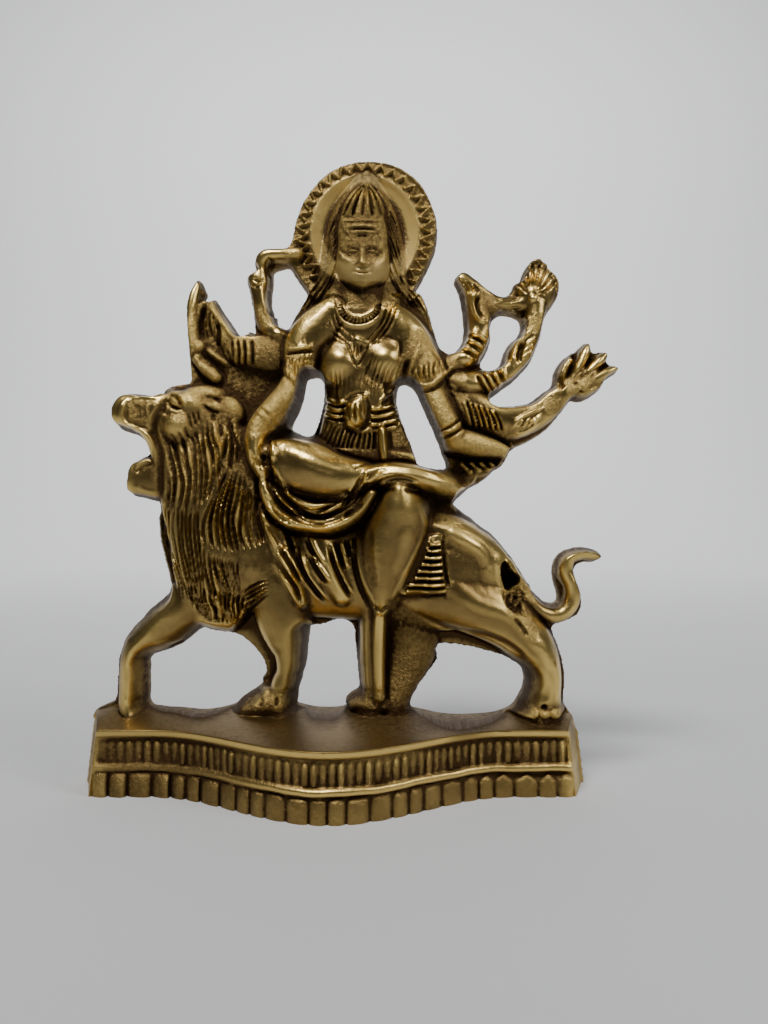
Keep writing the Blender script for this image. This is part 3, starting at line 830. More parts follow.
    r.shade([[-42, 80], [-38, 83], [-30, 80], [-29, 70], [-32, 66], [-41, 67]], 0.3, 7, 9, 3)
    r.rough([[-27, 92], [-22, 92.4], [-21, 80], [-23.6, 76], [-25.6, 80]], 0.6, 7, 9)
    r.rough([[-25.6, 79], [-21.4, 80], [-18.4, 73], [-20.4, 70], [-25, 74]], 1.0, 7, 9)
    r.shade([[-25, 79], [-21.4, 80], [-18, 73], [-17.6, 69], [-21, 72]], 0.6, 7, 9, 2)


def lion_head(r):
    """The lion's head, turned to the left with an open mouth."""
    seen = 7
    # Skull, muzzle like a soft box, throat, and the lower jaw
    r.limb([[-25.6, 88.6, 4.4, 9], [-28.4, 87.2, 5.4, 9.9], [-32, 87.8, 5.8, 11.2],
            [-36, 88.6, 5.8, 11], [-39.6, 88.6, 4.9, 10]], seen, foot=5, power=0.38, blend=1.2)
    r.limb([[-39.6, 88.7, 4.8, 9.6], [-44, 88.8, 4.8, 9.7], [-48.6, 89, 4.4, 9.6]], seen, foot=5,
           power=0.26, blend=0.6)
    r.limb([[-42.4, 84.6, 3.6, 9.2], [-40.6, 80, 3, 9.2], [-39.6, 75.6, 3.2, 9],
            [-39.4, 71.6, 3, 8.8]], seen, foot=5, power=0.36, blend=1)
    r.limb([[-40, 73.6, 5, 8.6], [-44, 73.6, 4.5, 8], [-46.4, 73.4, 3.8, 7.8]], seen, foot=5,
           power=0.3, blend=0.6)
    r.dome([-37.2, 86.4], [5, 4.4], 12.2, seen, 8.6, turn=-0.25, power=1.0, blend=1.6)
    r.dome([-34.2, 91.4], [4, 3.2], 11.6, seen, 9, power=0.9, blend=1.4)
    r.dome([-31.6, 93.4], [3.6, 1.8], 9.8, seen, 8.8, power=0.8, blend=1.4)
    # Valley round the muzzle, the lip's edge and the rough nose
    r.crease([[-40, 92.6], [-40.6, 90.6], [-42.2, 88], [-42.9, 85.2], [-42.2, 82.6], [-41.2, 79.4],
              [-41.2, 75.6], [-41.1, 71.6], [-40.8, 68.8]], 1.2, -1.0, seen, sharp=0.9, ends=0.08)
    r.crease([[-48.9, 92.4], [-50.1, 90.4], [-50.4, 87.8], [-49.5, 86], [-47, 85.1], [-44.6, 83.9],
              [-43, 82], [-42.4, 80]], 0.75, 0.6, seen, sharp=1.4, ends=0.12)
    r.crease([[-48.8, 90.6], [-49.2, 88.2], [-48.4, 86.9], [-46.4, 86.2], [-44.2, 85], [-42.6, 83]],
             0.7, -0.45, seen, sharp=0.8, ends=0.15)
    r.crease([[-48.2, 92.6], [-45, 92.8], [-41.6, 92.4]], 0.6, 0.3, seen)
    r.creases([[[-46.8, 90.8], [-46.2, 89.2], [-46.4, 87.2]],
               [[-45.4, 90.6], [-44.9, 88.8], [-45.2, 87.2]]], 0.6, -0.35, seen)
    r.rough([[-48.4, 91.6], [-44.4, 91.6], [-44.2, 86.8], [-46.4, 86.4], [-48.4, 87.6]], 1.0, seen,
            9.6)
    r.shade([[-47.6, 91], [-44.8, 91], [-44.8, 87], [-47.4, 87.4]], 0.35, seen, 9.6)
    # Almond eye between two lids that slope down to the right
    r.dome([-37.7, 91.6], [1.9, 1], 11.5, seen, 10, turn=-0.72, power=0.7, blend=0.4)
    r.crease([[-39.6, 93], [-38.2, 92.9], [-36.8, 91.8], [-35.9, 90.2]], 0.4, -0.75, seen,
             sharp=0.7, ends=0.2)
    r.crease([[-39.4, 94], [-37.4, 93.7], [-35.8, 92.2], [-35.1, 90.4]], 0.55, 0.45, seen,
             ends=0.25)
    r.crease([[-39.8, 92.2], [-39, 91], [-37.6, 90.1], [-36, 89.8]], 0.4, -0.75, seen, sharp=0.7,
             ends=0.2)
    r.crease([[-40.4, 91.2], [-39.2, 90], [-37.6, 89.2], [-36, 89]], 0.5, 0.35, seen, ends=0.25)
    r.crease([[-40.9, 89.6], [-39.6, 88.6], [-38.6, 88.2]], 0.45, -0.35, seen)
    # Ribs on the cheek, and the small flat ear
    r.creases([[[-35.2, 85.8], [-35, 84.4], [-34.4, 82.8]],
               [[-34.6, 88.8], [-34.2, 86.8], [-33.6, 84.8]],
               [[-33.6, 89.4], [-33.1, 87.4], [-32.7, 85.6]],
               [[-32.5, 89.6], [-32.1, 88], [-31.9, 86.4]],
               [[-36.8, 84.6], [-36.2, 83.2], [-35.2, 81.6]],
               [[-38.6, 84], [-37.8, 82.8], [-37, 81.4]]], 0.45, -0.6, seen, sharp=0.7, ends=0.25)
    r.dome([-28.9, 90.6], [2.4, 1.3], 10.2, seen, 9.4, turn=-0.32, power=1.0, blend=1.4)
    r.crease([[-31.2, 91], [-29.6, 89.9], [-27.8, 89.2], [-26.6, 89.3]], 0.45, -0.75, seen,
             sharp=0.7, ends=0.25)
    r.crease([[-30.6, 92.7], [-28.8, 92.6], [-27.3, 91.7], [-26.6, 90.6]], 0.4, -0.45, seen,
             sharp=0.7, ends=0.25)
    r.crease([[-30, 91.5], [-28.6, 91.2], [-27.4, 90.5]], 0.35, -0.4, seen, sharp=0.7, ends=0.3)
    r.rough([[-29.6, 88.8], [-27, 88.8], [-27.2, 86.4], [-29.2, 86.6]], 0.9, seen, 10)
    r.crease([[-28.9, 88.6], [-28.4, 87.6], [-28.4, 86.6]], 0.7, -0.4, seen)
    r.crease([[-47.2, 75.6], [-45.8, 77], [-43.4, 78]], 0.55, 0.45, seen)
    r.crease([[-46.8, 74.6], [-45.4, 75.9], [-43, 76.8]], 0.6, -0.4, seen)
    r.crease([[-47.2, 71.6], [-44.6, 70.4], [-41.8, 69.8]], 0.6, 0.3, seen)
    r.rough([[-28, 96], [-24.6, 95.6], [-24.6, 92.6], [-28, 93]], 0.7, seen, 8)
    r.shade([[44, 44], [57, 42], [57, 56], [69, 58], [69, 52], [61, 52], [60, 38], [46, 38]], 0.35,
            7, 6, 1.5)
    r.rough([[-40, 94], [-24, 96.6], [-22, 80], [-30, 70], [-42, 69], [-43, 79]], 0.45, seen, 9)
    r.shade([[-34, 90], [-24, 92], [-23, 80], [-33, 80]], 0.25, seen, 9, 2)
    r.shade([[-47.8, 77], [-43, 79], [-40, 81], [-39.6, 68], [-47.8, 69.6]], 0.75, seen, 7)


def hair(r):
    """The hood of long hair behind the face, and the rough ground where it meets the halo."""
    r.limb([[7.7, 146, 1.4, 4.6], [7.5, 144, 3, 6.6], [7.1, 140, 5.6, 8.6], [6.9, 135.4, 8, 9.4],
            [6.9, 130, 9.4, 9.8], [6.8, 125, 10.2, 9.6], [6.7, 121, 10.8, 9.2],
            [6.7, 118.6, 11, 8.4]], 5, foot=4.2, power=0.85, blend=1.0)
    r.limb([[6.9, 113, 8.8, 10.2], [6.9, 106, 9.2, 10.2], [6.9, 100, 8.6, 9.6]], foot=3.6)
    falls = [[[8.6, 144], [11.4, 140.2], [13.6, 136.4], [15.2, 131.6]],
             [[9.6, 141.6], [12.4, 137], [14.4, 132.4], [15.9, 127.4]],
             [[11.2, 138], [13, 133.4], [14.8, 128.2], [16.4, 123]],
             [[12.4, 132], [13.7, 127.6], [15, 123.6], [16.6, 119.4]],
             [[12.8, 126.4], [13.3, 123.6], [14.1, 121], [15.4, 118.4]]]
    strands(r, falls, 3, 6, 0.5, 0.3, 0.33, 21, 0.12, ends=0.16)
    mirrored = [[[14 - x, z] for x, z in guide] for guide in falls]
    strands(r, mirrored, 3, 6, 0.35, 0.15, 0.33, 22, 0.12, ends=0.16)
    for side in (-1, 1):
        edge = [[7 + side * 8.6, 122], [7 + side * 8.3, 128], [7 + side * 7.6, 133],
                [7 + side * 6, 138.4], [7 + side * 3.2, 143], [7 + side * 5, 142.6],
                [7 + side * 8, 138.6], [7 + side * 9.7, 132], [7 + side * 10, 122]]
        r.rough(edge, 1.0, 5, 4, 1)
        r.shade(edge, 0.4 if side < 0 else 0.15, 5, 4, 1)
    r.shade([[-3, 133], [2, 141], [5, 143], [2, 136], [0.6, 128], [0, 120], [-4, 121]], 0.35, 6, 9,
            2)


def torso(r):
    """Neck, shoulders and body, with their cloth and ornaments."""
    r.limb([[6.4, 99.6, 8.4, 9.4], [6.4, 95.4, 10.4, 10.6], [6.4, 90, 10.2, 11],
            [6.4, 84.5, 9.7, 11.2], [6.3, 79.4, 8.7, 11], [6.4, 75, 8.3, 10.8], [6.8, 70, 9.6, 11],
            [7.4, 65, 11.4, 10.6], [7.8, 60.5, 12.6, 10]], foot=4.6, power=0.45, trench=0.5)
    r.limb([[6.3, 118.6, 4.6, 10.4], [6.3, 115, 5.2, 11], [6.2, 111.6, 6.4, 11.2]], 8, foot=9.4,
           power=0.6)
    r.limb([[12.6, 112, 3.4, 10.6], [16.4, 107.4, 5, 11.6], [19, 102.6, 5.2, 12],
            [21, 99.2, 5, 12.2], [22.2, 97.4, 4.8, 12.2]], 9, foot=7.4, power=0.6, blend=1.4)
    for x, z in ((1.7, 100.9), (12, 101.4)):
        r.dome([x, z], [5.2, 5], 13.2, 9, 10.4, power=1.2, blend=1.8)
    r.dome([6.5, 93.5], [5.4, 6], 12.2, 9, 10.6, power=1.0, blend=1.6)
    # Locks of hair that fall on the shoulders
    right = [[[12.8, 122.6], [14.2, 119.2], [16.4, 116.4], [19, 113.4]],
             [[14.6, 123], [16.8, 119.4], [19, 116.2], [21.8, 112]]]
    left = [[[0.8, 122], [-0.6, 118.6], [-3, 115.8], [-5.2, 112.6]],
            [[-1.6, 122.6], [-3.6, 119], [-6.2, 115.4], [-9, 111.4]]]
    strands(r, right, 4, 8, 0.5, 0.5, 0.45, 23, 0.15, ends=0.2)
    strands(r, left, 4, 8, 0.45, 0.25, 0.45, 24, 0.15, ends=0.2)
    r.rough([[0, 121], [-3, 121], [-10, 111], [-5, 111]], 0.8, 8, 9)
    r.rough([[13, 121], [16, 121], [22, 112], [18, 112]], 0.6, 8, 9)
    # Collar, hatched across, and the garlands beside it
    r.crease([[0.2, 115], [0.8, 112], [2.9, 109.6], [6, 108.9], [9, 109.7], [11.1, 111.9],
              [11.6, 114.6]], 0.55, 0.4, 9, ends=0.08)
    r.crease([[0.5, 115.4], [1.2, 112.6], [3.2, 110.3], [6, 109.6], [8.8, 110.4], [10.7, 112.4],
              [11.2, 115]], 0.35, -0.35, 9, ends=0.08)
    r.crease([[2, 115], [2.6, 113], [4, 111.6], [6, 111.1], [8, 111.6], [9.6, 113], [10.2, 115]],
             0.4, 0.3, 9, ends=0.08)
    for k in range(17):
        t = -1.5 + k * 0.1875
        c, s = np.sin(t), -np.cos(t)
        r.crease([[6 + 4 * c, 114 + 3 * s], [6 + 5.2 * c, 114.2 + 4.6 * s]], 0.26, -0.4, 9, ends=0)
    for points in ([[-1.8, 114.4], [-1.8, 110], [0.1, 106.8], [3.1, 104.5]],
                   [[-0.9, 114.2], [-0.7, 110.2], [1.2, 107.2], [3.7, 105.2]],
                   [[0, 113.8], [0.4, 110.6], [2.4, 108], [4.4, 106.6]],
                   [[13.3, 114.8], [12.3, 111], [10.2, 107.6], [8, 105]],
                   [[14.4, 114.8], [13.4, 111], [11.3, 107.4], [9, 104.6]],
                   [[15.4, 114.4], [14.4, 110.8], [12.3, 107.2], [9.8, 104.6]]):
        r.crease(points, 0.45, 0.32, 9, ends=0.1)
        p = np.asarray(points, float)
        side = -1 if p[0, 0] < 6 else 1
        r.crease(p + [-0.45 * side, -0.1], 0.35, -0.45, 9, sharp=0.7, ends=0.1)
    # Point of the breast cloth and its folds down the middle
    r.creases([[[3.5, 105], [4.3, 102], [5.4, 99.2]], [[8.3, 105], [7.2, 102], [5.7, 99.4]],
               [[5.6, 104.4], [5.5, 101.4]], [[4.8, 104.8], [4.9, 102.4]],
               [[6.6, 104.8], [6.3, 102.2]]], 0.36, -0.45, 9, sharp=0.7)
    r.crease([[5, 106], [6.9, 105.2], [8.4, 104.6]], 0.8, 0.4, 9)
    folds = [[[9.2, 102.6], [7.9, 98.2], [6.2, 93.4]], [[10.2, 101.4], [9.2, 97], [8.4, 92.8]],
             [[12.6, 100.6], [11.4, 96.4], [10.2, 92.6]], [[14.8, 100], [13.4, 96.6], [11.6, 93]],
             [[4.6, 99], [4.4, 95.6], [4, 92.6]], [[2.6, 99.4], [2.6, 95.8], [2.2, 92.4]],
             [[0.4, 99.6], [0.7, 95.8], [0.6, 92.4]]]
    strands(r, folds[:4], 2, 9, 0.34, 0.2, 0.5, 25, 0.1, ends=0.3)
    strands(r, folds[4:], 2, 9, 0.2, 0.12, 0.45, 26, 0.1, ends=0.4)
    r.crease([[20, 103.6], [18.6, 100.8], [15.6, 96.2], [13, 93.2], [10.4, 90.6]], 0.6, 0.75, 9)
    r.crease([[19.2, 102.4], [17.6, 99.4], [14.6, 95.4], [11.8, 92.4]], 0.6, -0.5, 9)
    r.crease([[21, 102.6], [19.2, 99.2], [16.4, 95], [13.8, 92.2]], 0.6, -0.4, 9)
    r.crease([[15.2, 107], [15.8, 104], [15.6, 101]], 0.5, -0.6, 9, ends=0.3)
    r.crease([[-4, 106.6], [-3.6, 102.6], [-3, 98.4]], 0.9, -0.9, 9)
    r.crease([[17.4, 101.4], [17, 98.6], [16, 95.6]], 0.9, -0.7, 9)
    r.shade([[-4.4, 105], [-1.6, 104], [-1.2, 93], [-4, 93]], 0.5, 9, 10, 2)
    r.shade([[4, 99], [13, 99], [12, 91.6], [3, 91.6]], 0.3, 9, 11, 2)
    # Belt and knot
    for z in (91.1, 89.4, 87.9):
        r.crease([[-2.2, z + 0.5], [0.6, z - 0.2], [3.2, z]], 0.7, 0.8, 9, ends=0.1)
        r.crease([[-2.2, z - 0.3], [0.6, z - 1], [3.2, z - 0.8]], 0.4, -0.5, 9, ends=0.1)
    for z in (89.8, 88, 86.2):
        r.crease([[8.4, z - 0.4], [11.4, z - 0.2], [15.4, z + 1]], 0.7, 0.8, 9, ends=0.1)
        r.crease([[8.4, z - 1.2], [11.4, z - 1], [15.4, z + 0.2]], 0.4, -0.5, 9, ends=0.1)
    # The knot of the sash: a pouch of folds with a small lobe above
    r.limb([[5, 87.4, 2.7, 13.2], [5.4, 89.8, 2.6, 13.4], [6.4, 91.8, 1.2, 12.8]], 9, foot=10.8,
           blend=0.4, trench=0.5)
    r.crease([[3.6, 90.6], [3.3, 88.6], [4, 86.4]], 0.4, -0.4, 9, ends=0.3)
    r.crease([[5.2, 91], [5, 88.8], [5.4, 86.2]], 0.45, -0.6, 9, ends=0.3)
    r.crease([[6.4, 91.4], [6.4, 89], [6.9, 86.6]], 0.4, -0.5, 9, ends=0.3)
    r.crease([[5.8, 91], [5.7, 88.8], [6.1, 86.4]], 0.5, 0.4, 9, ends=0.3)
    r.crease([[4.4, 90.6], [4.2, 88.6], [4.7, 86.4]], 0.5, 0.3, 9, ends=0.3)
    r.dome([7.5, 92.8], [1.3, 0.9], 12.8, 9, 11, turn=0.6)
    r.crease([[1.8, 86.4], [4.6, 84.8], [7.4, 84.3], [8.8, 85.2]], 0.6, 0.6, 9)
    r.crease([[8.4, 85], [11, 84.7], [15.6, 85.4]], 0.7, 0.5, 9)
    # Pleats of the skirt, fanned from the belt
    pleats = [[[-2.6, 86.8], [-3.2, 84.6], [-4.4, 82.4]], [[1.6, 85.4], [0.6, 82.6], [-0.2, 80]],
              [[5.4, 84.2], [4.6, 81.6], [4, 78.8]], [[9.6, 84.2], [9.6, 81.4], [9.2, 78]]]
    strands(r, pleats, 4, 9, 0.45, 0.25, 0.36, 27, 0.05, ends=0.08)
    r.limb([[11.4, 84.6, 1.3, 12], [11.6, 81, 1.5, 12.2], [12, 77.4, 1.5, 12.2]], 9, foot=9.8,
           power=0.6, blend=0.5, trench=0.3)
    r.crease([[13.4, 84.4], [13.6, 81], [13.9, 77.6]], 0.45, -0.5, 9)
    r.rough([[14.2, 84.8], [19.4, 81], [20.4, 76.4], [13.6, 77]], 1.0, 9, 10)
    r.rough([[-5, 83], [10, 84], [10, 77.6], [-4, 79]], 0.5, 9, 11)
    r.shade([[-4.4, 87], [2, 87], [9.6, 84], [9.6, 77.6], [-4.4, 80]], 0.35, 9, 11)


def face(r):
    """An even oval face on the usual proportions: eyes half way down the head, the nose and the
    mouth at the thirds below the brow."""
    middle, chin, hairline, wide = 6.95, 117.0, 131.2, 5.9
    third = (hairline - chin) / 3
    brow, nose_base = hairline - third, chin + third
    eye, mouth = brow - 1.35, chin + third * 0.64
    cut = (slice(*np.searchsorted(r.up, (chin - 3, hairline + 4))),
           slice(*np.searchsorted(r.across, (middle - 9, middle + 9))))
    x, z = r.x[cut] - middle, r.z[cut]
    height = (hairline - chin) / 2
    v = (z - chin - height) / height
    taper = wide * np.where(v < 0, np.sqrt(unit(1 - np.abs(v) ** 2.5)) * (1 - 0.14 * v ** 2),
                            np.sqrt(unit(1 - 0.28 * np.abs(v) ** 2.4)))
    u = x / np.maximum(taper, 0.3)
    base = 10.0 + 3.5 * unit(1 - u ** 2) ** 0.62 - 0.9 * np.clip(v, 0, 2) ** 2 - 0.5 * unit(-v) ** 3

    def spot(cx, cz, rx, rz):
        return np.exp(-((x - cx) / rx) ** 2 - ((z - cz) / rz) ** 2)

    for side in (-1, 1):
        cx = side * 2.35
        base -= 0.45 * spot(cx, eye, 1.7, 1.1)
        base += 0.55 * spot(cx, eye - 0.05, 1.0, 0.5)
        base += 0.1 * hump(z - brow - 0.25 + 0.09 * (x - 1.1 * cx) ** 2, 0.4) * hump(x - cx, 1.7, 4)
        base -= 0.24 * hump(z - eye - 0.5 + 0.16 * (x - cx) ** 2, 0.18) * hump(x - cx, 1.5, 6)
        base -= 0.22 * hump(z - eye + 0.34 - 0.1 * (x - cx) ** 2, 0.17) * hump(x - cx, 1.3, 6)
        base += 0.25 * spot(side * 2.7, nose_base - 0.3, 1.9, 2.0)
        base += 0.25 * spot(side * 0.8, nose_base + 0.4, 0.5, 0.5)
        base -= 0.22 * spot(side * 2.05, mouth + 0.4, 0.35, 0.4)
    down = unit((brow + 0.4 - z) / (brow - nose_base))
    bridge = (0.2 + 1.15 * down ** 1.3) * (z > nose_base - 0.1)
    base += bridge * hump(x, 0.5 + 0.35 * down) * unit(brow + 0.8 - z)
    base -= 0.15 * spot(0, nose_base - 0.5, 1.0, 0.3)
    half = 1.75
    inside = unit(1 - (x / half) ** 2)
    bow = 0.12 * hump(np.abs(x) - 0.5, 0.4)
    base += 0.34 * inside ** 0.5 * hump(z - mouth - 0.45 - bow - 0.05 * x ** 2, 0.36)
    base += 0.4 * inside ** 0.5 * hump(z - mouth + 0.5 - 0.14 * x ** 2, 0.4)
    base -= 0.36 * hump(z - mouth - 0.13 * x ** 2, 0.18) * hump(x, 1.9, 6)
    base -= 0.2 * spot(0, mouth - 1.35, 1.1, 0.35)
    base += 0.4 * spot(0, chin + 1.35, 1.3, 1.1)
    edge = (1 - np.abs(u)) * taper
    base = np.where(edge > 0, base, base + 4.0 * edge)
    base = np.where(z < chin + 0.1, base - 5 * (chin + 0.1 - z), base)
    now = r.out[cut]
    now = now - 0.8 * hump(edge + 0.35, 0.45) * (z > chin + 1)
    r.out[cut] = np.where(v > 1.05, now, smooth_max(now, base, 0.3))
    r.shade([[-1, 137], [15, 137], [14, 117], [7, 113], [0, 117]], 0.8, 10, 12, 2)
    # Fillet with its two dark slits, the reeded tiara and the knot of hair on top
    r.limb([[6.6, 134.6, 5.4, 12], [6.7, 132.6, 5.9, 12.8], [6.8, 131, 6, 12.9]], 6, foot=8.6,
           blend=0.9, trench=0.3)
    r.crease([[1.8, 134.6], [6.7, 134.8], [11.6, 134.6]], 0.5, 0.35, 6, ends=0.1)
    r.crease([[1.8, 135.3], [6.7, 135.5], [11.6, 135.3]], 0.4, -0.4, 6, ends=0.1)
    r.crease([[3.2, 133.2], [6.7, 133.6], [10.6, 133.2]], 0.42, 0.35, 6)
    r.crease([[3.4, 132.5], [6.7, 132.9], [10.3, 132.5]], 0.34, -0.4, 6, ends=0.25)
    r.crease([[3.8, 131.9], [6.7, 132.2], [10, 131.9]], 0.42, 0.35, 6)
    r.crease([[5, 131.1], [6.7, 131.2], [8.4, 131.1]], 0.34, -0.35, 6, ends=0.3)
    r.limb([[6.7, 135, 5.2, 12.4], [6.9, 137.6, 4.8, 12.2], [7.2, 140.2, 3.6, 11],
            [7.5, 142.8, 1.8, 9]], 6, foot=8.6, power=0.6, blend=0.6, trench=0.15)
    ribs = [[[2, 135.6], [3.6, 139], [6.7, 143.2]], [[4.3, 135.8], [5.3, 139.4], [7.1, 143.4]],
            [[6.7, 135.8], [7, 139.6], [7.5, 143.4]], [[9.1, 135.8], [8.8, 139.4], [7.9, 143.4]],
            [[11.4, 135.6], [10.4, 139], [8.3, 143.2]]]
    strands(r, ribs, 1, 6, 0.75, 0.5, 0.45, 28, 0.03, ends=0.08)
    r.dome([7.5, 144.2], [1.6, 1.4], 7.4, 5, 5.8, power=0.8, blend=0.8)
    r.dome([7.7, 146.4], [0.9, 1], 5.4, 5, 4.4, blend=0.8)
    r.rough([[5, 147.6], [10.4, 147.6], [10.6, 142.4], [4.6, 142.4]], 1.0, 5, 7)
    r.shade([[4.4, 147.6], [10.6, 147.6], [10.8, 141.6], [4.2, 141.6]], 0.7, 5, 7, 1.2)


def lap(r):
    """The folded leg, the hanging leg, and the cloth wound round them."""
    # Cloth behind the lap, down to the lion's back
    r.plate([[-15, 61.5], [-15, 53.5], [-11, 48], [-3, 46.5], [6, 49.5], [12, 55.5], [20, 56.5],
             [20, 61.5], [5, 64]], 10.6)
    r.plate([[18, 58], [26, 58.6], [31, 58.6], [35, 60.6], [33, 56.4], [28.4, 52.6], [29, 48],
             [18, 45]], 5)
    r.limb([[-14.4, 60, 2, 14], [-12, 54, 3.6, 14.2], [-6, 51, 4, 14.6], [1, 51.2, 3.8, 14.6],
            [6, 54.4, 3, 15]], foot=11, blend=1)
    # Hanging leg under its cloth, and the strip that falls from the hem
    r.limb([[15.4, 54, 4.6, 18.2], [15.4, 50.4, 7, 18.8], [14.8, 45.4, 8.2, 18],
            [13.6, 39.4, 7.9, 16.8], [12.5, 34, 6.2, 15.2], [11.5, 29.4, 3.8, 13.6],
            [11.2, 26.4, 2, 12.4]], foot=9.6, power=0.85, blend=1.6)
    r.limb([[11, 27, 1.9, 12], [10.6, 20, 1.9, 10.8], [10.5, 12, 1.8, 10.2], [10.6, 6, 1.8, 9.8]],
           foot=8, trench=0.15)
    r.shade([[6, 42], [9, 42], [9.2, 20], [6, 20]], 0.5, 9, 12, 1)
    r.crease([[6, 60.5], [5.8, 55], [7.2, 49], [9.4, 43.8]], 1.0, 0.7, 10)
    r.crease([[20, 67.6], [21.6, 62.4], [19, 55.4], [16, 49.4], [13.6, 44.6]], 1.0, 0.7, 10)
    r.crease([[8.8, 62], [8.6, 55], [9.8, 47.6]], 1.2, -0.45, 10)
    r.crease([[9.6, 43.6], [11, 42.4], [13, 43.6]], 0.6, -0.7, 10)
    r.crease([[17.5, 62], [16.8, 56], [14.6, 50]], 2.2, 0.4, 10)
    r.shade([[4, 66], [11, 71.4], [21, 70], [22.6, 61], [19, 52], [13.4, 43], [8, 44], [5, 54]],
            0.7, 12, 16, 2.5)
    # Folded thigh
    r.limb([[-14.4, 62.4, 3.6, 15], [-10.4, 61, 5.4, 16.6], [-5.2, 59.2, 6.2, 17.8],
            [0, 57.6, 5.4, 17.6], [4.6, 57.4, 4.2, 16.8], [8, 57.8, 3, 16]], foot=11, trench=0.8)
    # Cloth wound across the lap to the crossing foot
    r.limb([[5, 56.2, 2.4, 15.6], [9, 57.4, 2.8, 16.8], [13.6, 57.8, 3, 17.6],
            [18.6, 57.4, 2.9, 17.6], [23, 56.4, 2.6, 16.6], [26.6, 55.4, 2.1, 14.8],
            [29, 54.6, 1.4, 12.4]], foot=11, trench=0.7)
    r.crease([[7, 74.4], [10, 75.8], [14, 76.2], [20, 75.4], [25, 73.6]], 0.9, 0.5, 12)
    r.crease([[9, 70.6], [12, 72.8], [16, 73.4], [20, 72.4]], 0.7, -0.8, 12)
    r.crease([[7.6, 73.2], [9.6, 74.4], [12.4, 75]], 0.6, -0.6, 12)
    # The roll of drapery that sweeps below the thigh
    r.limb([[-15.4, 60.4, 1.3, 15.2], [-15.4, 55, 1.6, 15.4], [-13.6, 50.6, 1.8, 15.6],
            [-9.8, 47.4, 2, 15.8], [-5.2, 46.4, 2, 15.8], [-0.6, 46.2, 2, 15.8],
            [3.6, 47.8, 2, 15.6], [7, 50.6, 2, 15.8], [9.2, 53.6, 1.8, 16]], foot=10, trench=0.7)
    folds = [[[-14.6, 76], [-12.9, 71.4], [-10, 67.6], [-5.4, 64.6], [-1.4, 64.4], [2.4, 66.6]],
             [[-13.6, 75.4], [-11.6, 70.6], [-8, 66.8], [-3.8, 65.6], [0.6, 67.2]],
             [[-14.4, 71], [-12, 67], [-8, 63.8], [-3, 62.6], [1.6, 63.8], [5, 66.2]],
             [[-15.2, 69.6], [-13, 65.4], [-9.4, 62.6]]]
    for points in folds:
        p = np.asarray(points, float)
        r.crease(p, 0.8, -1.0, 12)
        r.crease(p + [0.35, 1.0], 0.9, 0.7, 12)
    r.crease([[2, 66.4], [5, 70], [7.4, 74.4]], 0.8, -1.5, 12)
    r.crease([[2.4, 64], [5, 65.8], [7.2, 67.8]], 0.8, -1.2, 12)
    r.crease([[3.6, 68.4], [6, 71.6], [8, 75]], 0.8, 0.6, 12)
    r.crease([[7.8, 71.4], [9.8, 73.6], [12, 75]], 0.8, 0.5, 12)
    r.crease([[-11, 80.2], [-7.6, 78.6], [-2, 76.2], [2, 75]], 1.6, 0.3, 12)
    r.rough([[24.6, 72], [28, 72], [28.6, 69.4], [25, 69]], 0.6, 12, 15)
    r.shade([[9, 76], [20, 75.4], [28, 72.4], [28, 69], [14, 71.4]], 0.3, 12, 16, 2)
    r.shade([[-12, 76], [-2, 72.4], [5, 70], [3, 65], [-7, 66.4], [-12.6, 70]], 0.6, 12, 15, 2)


